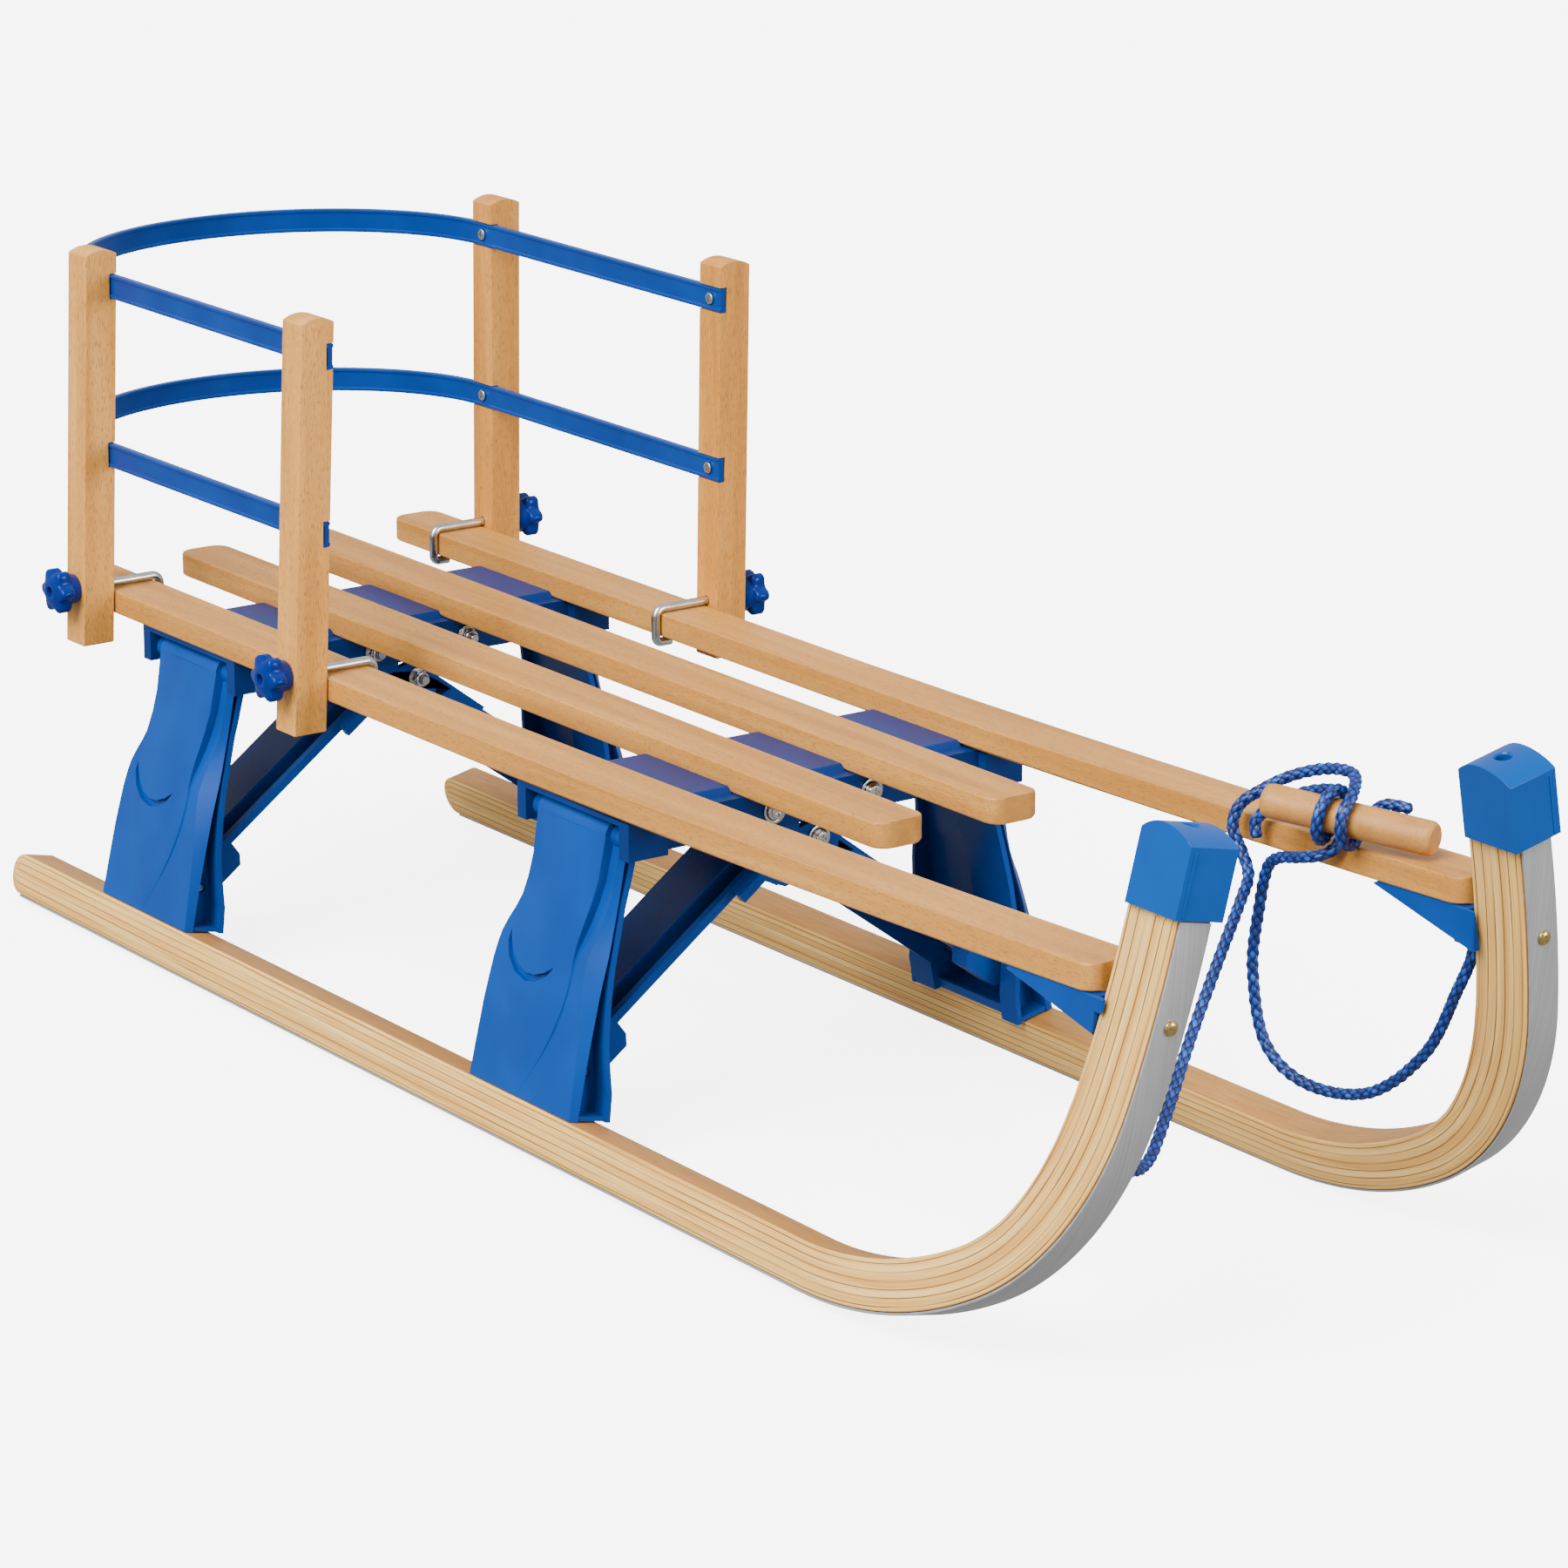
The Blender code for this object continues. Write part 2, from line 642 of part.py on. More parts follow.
def leg(side, offset):
    heights = [28.0, 44.0, 58.0, 70.0, 75.0, 86.0, 97.0, 107.0, 114.0, 121.0, 129.0, 138.0, 149.0, 162.0, 187.0]
    name = station_name(offset) + "_" + side_name(side) + "_leg"
    body = loft(name, [leg_ring(side, offset, h) for h in heights])
    cheek = [(5.0, 28.3), (-16.9, 28.3), (-17.0, 44.0), (-15.0, 51.0), (-11.0, 60.0), (-6.0, 66.0), (5.0, 66.0)]
    floor = [(4.6, 28.5), (-13.0, 28.5), (-13.6, 30.2), (-13.6, 35.0), (-11.4, 35.0), (-11.2, 32.0), (4.6, 32.0)]
    parts = [leg_prism("cheek", side, offset, cheek, 9.2, -12.4),
             leg_prism("floor", side, offset, floor, 7.9, -80.0),
             leg_prism("toe", side, offset, [(5.6, 28.6), (-16.0, 28.6), (-16.0, 31.3), (5.6, 31.3)], -77.0, -91.6)]
    fuse(body, parts)
    pivot = frame_of_pivot()
    cut(body, [leg_prism("pivot_hole", side, offset, circle(pivot[0], pivot[1], 2.8), 14.0, -83.0),
               crescent(side, offset)])
    fuse(body, [leg_prism("tongue_top", side, offset, circle(HINGE_O, HINGE_H, BARREL, 24), -11.1, -78.4),
                leg_prism("barrel", side, offset, circle(HINGE_O, HINGE_H, 7.0), -0.9, -92.6)])
    cut(body, [leg_prism("hinge_hole", side, offset, circle(HINGE_O, HINGE_H, 3.3), 3.0, -96.0)])
    finish(body, "blue_plastic")


def crescent(side, offset):
    """Slot below the tongue, deepest under its rear half."""
    upper = [(-6.2, 120.5), (-8.4, 113.0), (-13.0, 105.5), (-20.0, 99.6), (-28.0, 97.0), (-37.0, 97.6),
             (-46.0, 101.0), (-54.0, 106.0)]
    lower = [(-48.0, 99.0), (-40.0, 94.4), (-29.0, 92.2), (-18.0, 94.6), (-9.6, 101.4), (-6.0, 110.0)]
    outline = upper + lower

    def place(y, h, o):
        return in_frame(side, o, y + offset, h)
    return prism("crescent", outline, 7.6, 14.0, place)


def frame_of_pivot():
    """Foot pivot in side-frame terms."""
    dx = FOOT_PIVOT_X - SOLE_X
    dz = FOOT_PIVOT_Z - SOLE_Z
    return dz * math.sin(CANT) + dx * math.cos(CANT), dz * math.cos(CANT) - dx * math.sin(CANT)


# Half bridges: the deck halves under the slats with ears that carry the legs
def half_bridge(side, offset):
    name = station_name(offset) + "_" + side_name(side) + "_half_bridge"

    def place(y, z, x):
        return side * x, y + offset, z

    def along(outline, x0, x1):
        return prism("bit", outline, x0, x1, place)

    channel = [(BRIDGE_REAR, 186.0), (BRIDGE_REAR, DECK_TOP), (FLANGE_FRONT, DECK_TOP), (FLANGE_FRONT, FLANGE_BOTTOM),
               (FLANGE_BACK, FLANGE_BOTTOM), (FLANGE_BACK, DECK_TOP - DECK_THICK),
               (BRIDGE_REAR - 3.5, DECK_TOP - DECK_THICK), (BRIDGE_REAR - 3.5, 186.0)]
    body = prism(name, channel, GAP / 2, 112.0, place)
    land = [(2.5, DECK_TOP - 1.0)]
    for i in range(4):
        turn = math.pi / 2 * i / 3
        land.append((-4.0 + 6.5 * math.cos(turn), LAND_TOP - 4.0 + 4.0 * math.sin(turn)))
    for part in range(5):
        t = part / 4
        land.append((-82.5 - 6.0 * t, DECK_TOP - 0.6 + (LAND_TOP - DECK_TOP + 0.6) * (1 + math.cos(math.pi * t)) / 2))
    land.append((-88.5, DECK_TOP - 1.0))
    parts = [along(land, GAP / 2, INNER_SLAT_X - SLAT_WIDTH / 2 - GAP),
             along(land, INNER_SLAT_X + SLAT_WIDTH / 2 + GAP, OUTER_SLAT_X - SLAT_WIDTH / 2 - GAP)]
    deck = [(BRIDGE_REAR, DECK_TOP - DECK_THICK), (BRIDGE_REAR, DECK_TOP), (-102.5, DECK_TOP),
            (-102.5, DECK_TOP - DECK_THICK)]
    parts.append(along(deck, 111.0, BRIDGE_OUT))
    rear_ear = [(-0.5, 177.5), (BRIDGE_REAR, 177.5), (BRIDGE_REAR, DECK_TOP - 1.0), (-0.5, DECK_TOP - 1.0)]
    front_ear = [(-102.5, 177.5), (-93.0, 177.5), (-93.0, DECK_TOP - 1.0), (-102.5, DECK_TOP - 1.0)]
    parts.append(along(rear_ear, 110.0, BRIDGE_OUT))
    parts.append(along(front_ear, 110.0, BRIDGE_OUT))
    for x in (48.0, 84.0):
        rib = [(FLANGE_BACK - 1.0, 190.0), (BRIDGE_REAR - 2.0, 190.0), (BRIDGE_REAR - 2.0, DECK_TOP - 1.0),
               (FLANGE_BACK - 1.0, DECK_TOP - 1.0)]
        parts.append(along(rib, x, x + 2.5))
    boss_end = -91.2 if side == RIGHT else -85.5
    parts.append(round_rod("boss", place(FLANGE_FRONT + 1.0, BOLT_Z, BOLT_X), place(boss_end, BOLT_Z, BOLT_X),
                           13.0, 16))
    fuse(body, parts)
    cutters = [round_rod("hole", place(20.0, HINGE_Z, HINGE_X), place(-100.4, HINGE_Z, HINGE_X), 6.6, 16),
               round_rod("hole", place(-80.0, BOLT_Z, BOLT_X), place(-110.0, BOLT_Z, BOLT_X), 6.8, 16)]
    cut(body, cutters)
    finish(body, "blue_plastic")


# Braces: channel struts from each foot to the bolt on the other half bridge
def brace_axis(side):
    start = Vector((side * FOOT_PIVOT_X, 0.0, FOOT_PIVOT_Z))
    end = Vector((-side * BOLT_X, 0.0, BOLT_Z))
    along = (end - start).normalized()
    up = Vector((side * along.z, 0.0, abs(along.x)))
    return start, along, up, (end - start).length


def brace(side, offset):
    name = station_name(offset) + "_" + side_name(side) + "_brace"
    start, along, up, length = brace_axis(side)

    def place_section(y, n, t):
        point = start + along * t + up * n
        return point.x, y + offset, point.z

    def place_plate(t, n, y):
        return place_section(y, n, t)

    rear = BRACE_REAR
    front = BRACE_FRONT
    section = [(rear, -14.0), (rear, 6.0), (rear - 29.0, 6.0), (rear - 29.6, 9.0), (rear - 42.4, 9.0),
               (rear - 43.0, 8.0), (rear - 43.0, -1.6), (rear - 56.5, 6.2), (rear - 56.5, 9.0), (front, 9.0),
               (front, 3.6), (rear - 43.0, -4.6), (rear - 40.2, -4.6), (rear - 40.2, 3.0), (rear - 2.6, 3.0),
               (rear - 2.6, -14.0)]
    body = prism(name, section, -10.0, BRACE_BODY, place_section)
    foot = prism("foot", [(-9.7, -12.0), (30.0, -12.0), (34.0, -6.0), (34.0, 5.0), (-9.7, 5.0)],
                 rear - 47.0, front + 0.4, place_plate)
    fuse(body, [foot])
    trim = [(6.0, -20.0), (6.0, -14.0), (2.0, -9.2)]
    for i in range(9):
        turn = -math.pi / 2 - math.pi * i / 8
        trim.append((9.2 * math.cos(turn), 9.2 * math.sin(turn)))
    trim += [(4.0, 16.0), (-20.0, 16.0), (-20.0, -20.0)]
    cutter = prism("trim", trim, rear + 5.0, front - 5.0, place_plate)
    cut(body, [cutter])
    plate_from, plate_to = (-85.7, -91.0) if side == LEFT else (-80.0, -85.2)
    plate = [(132.0, 9.0), (132.0, 3.4), (149.0, 3.4), (157.0, -9.5), (168.0, -13.0), (205.0, -13.0),
             (length, -9.5), (length + 6.5, -6.5), (length + 8.2, 0.0), (length + 5.2, 5.2), (length, 8.2),
             (205.0, 10.0)]
    head = prism("head", plate, plate_from, plate_to, place_plate)
    shelf = prism("shelf", [(133.0, 8.7), (133.0, 5.7), (BRACE_BODY - 0.4, 5.7), (BRACE_BODY - 0.4, 8.7)],
                  front + 1.7, plate_from - 1.7, place_plate)
    wall = prism("wall", [(BRACE_BODY - 3.4, 7.6), (BRACE_BODY - 3.4, -7.6), (BRACE_BODY - 0.6, -7.6),
                          (BRACE_BODY - 0.6, 7.6)], rear - 1.3, plate_from - 1.3, place_plate)
    triangles = (((161, 7), (174, 7), (167.5, -4)), ((169, -10), (179, -10), (174, -2)),
                 ((197, 7.5), (208, 7.5), (203, 0)), ((196, -10), (210, -9.5), (204, -3)))
    cut(head, [prism("window", list(triangle), plate_from + 1.0, plate_to - 1.0, place_plate)
               for triangle in triangles])
    for x, z in ((0.0, CROSS_Z), (-side * BOLT_X, BOLT_Z)):
        cut(head, [round_rod("hole", (x, -70.0 + offset, z), (x, -100.0 + offset, z), 6.8, 16)])
    cut(body, [round_rod("hole", (start.x, 0.0 + offset, start.z), (start.x, -90.0 + offset, start.z), 5.6, 16)])
    fuse(body, [head, shelf, wall])
    finish(body, "blue_plastic")


# Hinge pins, foot pins, bolts and lock nuts of the stations
def build_station_fasteners():
    for offset in STATIONS:
        tag = station_name(offset) + "_"
        for side in SIDES:
            pin = turned(tag + side_name(side) + "_hinge_pin", (side * HINGE_X, 10.4 + offset, HINGE_Z), (0, -1, 0),
                         [(0.0, 6.5), (0.6, 8.4), (2.0, 8.6), (2.01, 6.0), (109.4, 6.0), (110.2, 5.0)])
            finish(pin, "zinc_plated_steel")
            pin = turned(tag + side_name(side) + "_foot_pin", (side * FOOT_PIVOT_X, 11.6 + offset, FOOT_PIVOT_Z),
                         (0, -1, 0), [(0.0, 5.0), (0.5, 7.0), (1.6, 7.4), (1.61, 5.0), (89.7, 5.0), (90.3, 4.2)])
            finish(pin, "zinc_plated_steel")
        spots = (("right_bridge", -BOLT_X, BOLT_Z, FLANGE_FRONT, -85.6),
                 ("left_bridge", BOLT_X, BOLT_Z, FLANGE_FRONT, -80.0), ("crossing", 0.0, CROSS_Z, -91.0, -80.0))
        for word, x, z, front, back in spots:
            head = [(0.0, 6.4), (0.7, 8.8), (1.8, 10.6), (3.4, 11.0), (3.41, 6.0)]
            reach = back - front + 14.0
            tail = [(reach, 6.0), (reach + 0.8, 5.0)]
            if offset == FRONT_STATION:
                bolt = turned(tag + word + "_bolt", (x, front - GAP - 3.4, z), (0, 1, 0), head + tail, 12)
            else:
                bolt = turned(tag + word + "_bolt", (x, offset + back + GAP + 3.4, z), (0, -1, 0), head + tail, 12)
                finish(lock_nut(tag + word + "_nut", (x, offset + front - GAP, z)), "zinc_plated_steel")
            finish(bolt, "zinc_plated_steel")


def lock_nut(name, start):
    """Flanged hexagon nut with a round collar, facing the nose."""
    body = turned(name, start, (0, -1, 0), [(0.0, 13.0), (1.4, 13.0)], 16)
    hexagon = turned("hexagon", Vector(start) - Vector((0, 1.0, 0)), (0, -1, 0), [(0.0, 11.0), (4.6, 11.0)], 6)
    collar = turned("collar", Vector(start) - Vector((0, 5.0, 0)), (0, -1, 0), [(0.0, 9.4), (2.2, 9.4), (2.8, 8.4)], 16)
    fuse(body, [hexagon, collar])
    hole = round_rod("hole", Vector(start) + Vector((0, 3.0, 0)), Vector(start) - Vector((0, 12.0, 0)), 6.7, 12)
    return cut(body, [hole])


# Backrest: four posts, two bent bows, four hook bolts with star knobs
def lean(y, z):
    """The backrest leans toward the nose as it rises from the hooks."""
    return y - LEAN * (z - HOOK_Z)


def lean_in(side, x, z):
    """The posts also lean a little toward each other; x is right at the height of the lower bow."""
    return x - side * LEAN_IN * (z - LEAN_FROM)


def post(name, side, hook_y):
    half = POST_SIZE / 2
    middle = side * POST_MID
    top = HOOK_Z + POST_TOP

    def place(x, y, z):
        return lean_in(side, x, z), lean(y, z), z
    square = [(middle - half, hook_y - half), (middle + half, hook_y - half), (middle + half, hook_y + half),
              (middle - half, hook_y + half)]
    body = prism(name, square, HOOK_Z + POST_LOW, top + 2.0, place)
    soften(body, 1.0, 2, 50)

    def place_arch(x, z, y):
        return lean_in(side, x, z), lean(y, z), z
    arch = [(middle + 16.0, HOOK_Z + POST_LOW - 5.0), (middle + 16.0, top - 8.0)]
    for i in range(9):
        turn = math.radians(40.0 - 10.0 * i)
        arch.append((middle + 20.0 * math.sin(turn), top - 20.0 + 20.0 * math.cos(turn)))
    arch += [(middle - 16.0, top - 8.0), (middle - 16.0, HOOK_Z + POST_LOW - 5.0)]
    combine(body, [prism("arch", arch, hook_y - 16.0, hook_y + 16.0, place_arch)], "INTERSECT")
    cutters = [round_rod("hole", (side * (POST_IN - 4), hook_y, HOOK_Z),
                         (side * (POST_IN + POST_SIZE + 6), hook_y, HOOK_Z), HOOK_DIAMETER + 0.7, 16)]
    for name_of_bow, low in BOW_HEIGHTS.items():
        z0 = HOOK_Z + low - 0.35
        z1 = HOOK_Z + low + BOW_HIGH + 0.35
        outer = BOW_LINES[name_of_bow] + BOW_THICK / 2 + GAP
        outline = [(lean(hook_y, z0) - 20.0, z0), (lean(hook_y, z0) + 20.0, z0), (lean(hook_y, z1) + 20.0, z1),
                   (lean(hook_y, z1) - 20.0, z1)]
        cutters.append(prism("notch", outline, side * (POST_IN - 8.0), side * outer, along_x))
    cut(body, cutters)
    return finish(body, "beech")


def bow_path(reach):
    """Plan line of a bow: along one side, round the back and along the other."""
    front = FRONT_HOOK_Y - POST_SIZE / 2 + 0.2
    points = [(reach, front)]
    for i in range(1, 4):
        points.append((reach, front + (REAR_HOOK_Y - front) * i / 3))
    steps = 18
    for i in range(1, steps):
        turn = math.pi * i / steps
        points.append((reach * math.cos(turn), REAR_HOOK_Y + BOW_DEPTH * math.sin(turn)))
    for i in range(4):
        points.append((-reach, REAR_HOOK_Y + (front - REAR_HOOK_Y) * i / 3))
    return points


def bow_band(name, reach, inner, outer, z0, z1):
    """Band along the bow's line between two offsets from it."""
    line = bow_path(reach)
    near = []
    far = []
    for i, (x, y) in enumerate(line):
        before = line[max(0, i - 1)]
        after = line[min(len(line) - 1, i + 1)]
        run = Vector((after[0] - before[0], after[1] - before[1])).normalized()
        near.append((x + run.y * inner, y - run.x * inner))
        far.append((x + run.y * outer, y - run.x * outer))

    def place(x, y, z):
        return x, lean(y, z), z
    return ribbon(name, near, far, z0, z1, place)


def bow(name, low):
    """Bent flat strip with a raised lip along both long edges of its outer face."""
    base = HOOK_Z + low
    half = BOW_THICK / 2
    reach = BOW_LINES[name]
    body = bow_band(name, reach, -half, half - 0.8, base, base + BOW_HIGH)
    lips = [bow_band("lip", reach, -half + 1.0, half, base, base + 2.4),
            bow_band("lip", reach, -half + 1.0, half, base + BOW_HIGH - 2.4, base + BOW_HIGH)]
    fuse(body, lips)
    return finish(body, "blue_plastic")


def hook_line(side, hook_y):
    """Centre line of a hook: knob end, over the slat, down its inner face and under it."""
    points = [(KNOB_OUT - 7.2, HOOK_Z), (KNOB_IN, HOOK_Z), (POST_IN, HOOK_Z), (HOOK_X + 5.4, HOOK_Z)]
    for i in range(1, 7):
        turn = math.pi / 2 * i / 6
        points.append((HOOK_X + 5.4 - 5.4 * math.sin(turn), HOOK_Z - 5.4 + 5.4 * math.cos(turn)))
    points.append((HOOK_X, HOOK_FOOT_Z + 3.6))
    for i in range(1, 6):
        turn = math.pi / 2 * i / 5
        points.append((HOOK_X + 3.6 - 3.6 * math.cos(turn), HOOK_FOOT_Z + 3.6 - 3.6 * math.sin(turn)))
    points.append((HOOK_X + 11.0, HOOK_FOOT_Z))
    return [Vector((side * x, hook_y, z)) for x, z in points]


def hook(name, side, hook_y):
    return finish(round_bar(name, hook_line(side, hook_y), HOOK_DIAMETER, 2), "zinc_plated_steel")


def knob(name, side, hook_y):
    """Star knob with six lobes, a collar toward the post and a through hole."""
    outline = []
    for i in range(30):
        turn = 2 * math.pi * i / 30
        reach = 12.6 + 1.9 * math.cos(6 * turn)
        outline.append((hook_y + reach * math.cos(turn), HOOK_Z + reach * math.sin(turn)))
    body = prism(name, outline, side * (KNOB_IN + 6.2), side * KNOB_OUT, along_x)
    soften(body, 1.8, 1, 60)
    collar = turned("collar", (side * KNOB_IN, hook_y, HOOK_Z), (side, 0, 0),
                    [(0.0, 17.4), (0.6, 18.2), (8.0, 21.0)], 24)
    fuse(body, [collar])
    hole = round_rod("hole", (side * (KNOB_IN - 3), hook_y, HOOK_Z), (side * (KNOB_OUT + 3), hook_y, HOOK_Z),
                     HOOK_DIAMETER + 0.7, 16)
    cut(body, [hole])
    return finish(body, "bright_blue_plastic")


def set_origin(ob, x, y, z):
    """Move the origin to a joint axis without moving the piece."""
    place = Vector((x * MM, (y + SHIFT_Y) * MM, z * MM))
    ob.data.transform(Matrix.Translation(-place))
    ob.location = place


def build_backrest():
    for low_name, low in BOW_HEIGHTS.items():
        bow(low_name, low)
    for side in SIDES:
        for place, hook_y in (("front", FRONT_HOOK_Y), ("rear", REAR_HOOK_Y)):
            tag = place + "_" + side_name(side)
            post(tag + "_post", side, hook_y)
            set_origin(hook(tag + "_hook", side, hook_y), side * KNOB_IN, hook_y, HOOK_Z)
            set_origin(knob(tag + "_knob", side, hook_y), side * KNOB_IN, hook_y, HOOK_Z)


# Toggle and pull rope: each half of the rope runs from a horn bracket to the toggle
def build_toggle():
    start = Vector(TOGGLE_REAR)
    end = Vector(TOGGLE_FRONT)
    length = (end - start).length
    profile = [(0.0, 13.5), (0.9, 16.4), (2.4, 18.2), (4.6, TOGGLE_DIAMETER),
               (length - 4.6, TOGGLE_DIAMETER), (length - 2.4, 18.2), (length - 0.9, 16.4), (length, 13.5)]
    body = turned("toggle", start, end - start, profile, 24)
    finish(body, "beech")


def smooth_line(places, spacing):
    """Even points along a smooth curve through the given places."""
    points = [Vector(place) for place in places]
    points = [2 * points[0] - points[1]] + points + [2 * points[-1] - points[-2]]
    dense = []
    for before, start, end, after in zip(points, points[1:], points[2:], points[3:]):
        for i in range(24):
            t = i / 24
            dense.append(0.5 * ((2 * start) + (end - before) * t
                                + (2 * before - 5 * start + 4 * end - after) * t ** 2
                                + (3 * start - before - 3 * end + after) * t ** 3))
    dense.append(points[-2])
    total = sum((b - a).length for a, b in zip(dense, dense[1:]))
    count = max(2, round(total / spacing))
    line = [dense[0]]
    wanted = total / count
    walked = 0.0
    for a, b in zip(dense, dense[1:]):
        step = (b - a).length
        while walked + step >= wanted * len(line) and len(line) < count:
            line.append(a.lerp(b, (wanted * len(line) - walked) / step))
        walked += step
    line.append(dense[-1])
    return line


def wrap_places(along_first, along_last, first_turn, last_turn, steps):
    """Places round the toggle; turns are in degrees from the top, going down the inner side."""
    start = Vector(TOGGLE_REAR)
    end = Vector(TOGGLE_FRONT)
    axis = (end - start).normalized()
    inward = axis.cross(Vector((0, 0, 1))).normalized()
    up = inward.cross(axis)
    middle = start.lerp(end, WRAP_AT)
    places = []
    for i in range(steps + 1):
        part = i / steps
        turn = math.radians(first_turn + (last_turn - first_turn) * part)
        centre = middle + axis * (along_first + (along_last - along_first) * part)
        places.append(centre + (up * math.cos(turn) + inward * math.sin(turn)) * WRAP_RADIUS)
    return places


RIGHT_HANG = [(-ROPE_EXIT_X, ROPE_EXIT_Y, ROPE_EXIT_Z - GAP), (-ROPE_EXIT_X, ROPE_EXIT_Y, ROPE_EXIT_Z - 9.0),
              (-118.0, -491.0, 160.0), (-106.0, -482.0, 124.0), (-84.0, -470.0, 99.0), (-58.0, -455.0, 92.0),
              (-28.0, -433.0, 104.0), (8.0, -408.0, 131.0), (44.0, -386.0, 160.0), (76.0, -366.0, 183.0),
              (91.0, -355.0, 193.0)]
RIGHT_LOOP = [(93.6, -346.0, 204.0), (92.6, -339.5, 216.0), (96.0, -341.0, 228.0), (104.0, -349.0, 237.0),
              (112.5, -361.0, 245.5), (118.0, -378.0, 252.5), (119.0, -396.0, 256.5), (114.0, -412.0, 257.0)]
RIGHT_END = [(117.5, -431.0, 245.5), (121.0, -440.0, 246.5), (123.0, -446.0, 246.0)]
LEFT_HANG = [(ROPE_EXIT_X, ROPE_EXIT_Y, ROPE_EXIT_Z - GAP), (ROPE_EXIT_X, ROPE_EXIT_Y, ROPE_EXIT_Z - 9.0),
             (119.0, -490.5, 160.0), (116.5, -471.0, 121.0), (113.0, -433.0, 88.5), (108.0, -388.0, 81.0),
             (103.0, -358.5, 97.0), (99.5, -350.5, 138.0), (98.5, -356.0, 175.0), (97.4, -363.0, 198.0)]
LEFT_UNDER = [(94.4, -375.0, 207.0), (92.0, -392.0, 212.0), (93.0, -408.0, 216.6), (97.6, -415.4, 221.6)]
LEFT_LOOP = [(111.4, -400.0, 246.4), (111.6, -384.0, 243.6), (106.5, -370.0, 237.6), (99.4, -361.0, 230.6),
             (95.2, -355.0, 222.0), (94.6, -357.0, 213.6)]


def closest(line, other, skip):
    """Least distance between two lines, or of a line to itself beyond skipped neighbours."""
    least = 1e9
    for i, a in enumerate(line):
        for j, b in enumerate(other):
            if skip == 0 or abs(i - j) > skip:
                least = min(least, (a - b).length)
    return least


def build_rope():
    right = smooth_line(RIGHT_HANG + RIGHT_LOOP + wrap_places(5.0, 5.8, 12.0, 258.0, 6) + RIGHT_END, 7.5)
    left = smooth_line(LEFT_HANG + LEFT_UNDER + wrap_places(-2.8, -12.2, 222.0, 610.0, 9) + LEFT_LOOP, 7.5)
    finish(round_bar("right_rope", right, ROPE_DIAMETER, 2), "blue_rope")
    finish(round_bar("left_rope", left, ROPE_DIAMETER, 2), "blue_rope")
    slack = (closest(right, right, 3), closest(left, left, 3), closest(right, left, 0))
    for word, least in zip(("right to itself", "left to itself", "right to left"), slack):
        print("least gap of the rope", word, round(least - ROPE_DIAMETER, 2), "mm")
    for word, line in (("right", right), ("left", left)):
        print(word, "rope length", round(sum((b - a).length for a, b in zip(line, line[1:]))), "mm", len(line))


build_slats()
build_runners()
build_caps()
build_brackets()
for station in STATIONS:
    for hand in SIDES:
        leg(hand, station)
        half_bridge(hand, station)
        brace(hand, station)
build_station_fasteners()
build_backrest()
build_toggle()
build_rope()
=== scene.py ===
import math
import random

import bmesh
import bpy
from mathutils import Matrix, Vector


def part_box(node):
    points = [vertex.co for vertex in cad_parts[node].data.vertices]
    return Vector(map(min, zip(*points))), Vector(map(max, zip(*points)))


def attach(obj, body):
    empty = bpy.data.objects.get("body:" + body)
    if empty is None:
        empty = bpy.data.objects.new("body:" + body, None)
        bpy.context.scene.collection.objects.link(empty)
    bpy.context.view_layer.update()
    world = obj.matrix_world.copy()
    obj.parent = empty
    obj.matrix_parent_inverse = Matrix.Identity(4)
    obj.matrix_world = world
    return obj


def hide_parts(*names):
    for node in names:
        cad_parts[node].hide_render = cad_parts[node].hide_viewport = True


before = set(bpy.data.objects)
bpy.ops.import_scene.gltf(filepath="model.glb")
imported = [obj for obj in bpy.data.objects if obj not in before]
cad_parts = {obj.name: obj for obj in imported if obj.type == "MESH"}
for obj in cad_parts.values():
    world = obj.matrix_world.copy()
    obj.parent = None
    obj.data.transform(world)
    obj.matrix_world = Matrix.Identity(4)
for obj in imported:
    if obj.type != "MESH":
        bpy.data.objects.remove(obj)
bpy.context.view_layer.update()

# Camera: the photograph's view, from ahead of the sled and to its right, a little above it.
# A long lens, so the runners stay nearly parallel. Lengths are in millimetres times MM.
MM = 0.001
SHIFT_Y = -17.7  # from the drawing's y to the frame's, which has the whole sled in its middle
LOOK_DOWN = math.radians(73.70)
LOOK_ROUND = math.radians(-35.76)
lens = bpy.data.cameras.new("camera")
lens.lens = 129.88
lens.sensor_width = 36.0
camera = bpy.data.objects.new("camera", lens)
bpy.context.scene.collection.objects.link(camera)
camera.location = (-1.7913, -2.5456 + SHIFT_Y * MM, 1.0851)
camera.rotation_euler = (LOOK_DOWN, 0.0, LOOK_ROUND)
bpy.context.scene.camera = camera


# Pull rope: solid braided polypropylene, about 7 mm thick, blue, with glossy strands.
# Each end comes down out of a horn bracket; both halves are wound over the toggle, where
# it lies on the left slat, and the ends are tucked in beside it.
def sled_point(x, y, z):
    """Place in the frame, in metres, of a place on the drawing, in millimetres."""
    return Vector((x * MM, (y + SHIFT_Y) * MM, z * MM))


CURVE_STEPS = 24


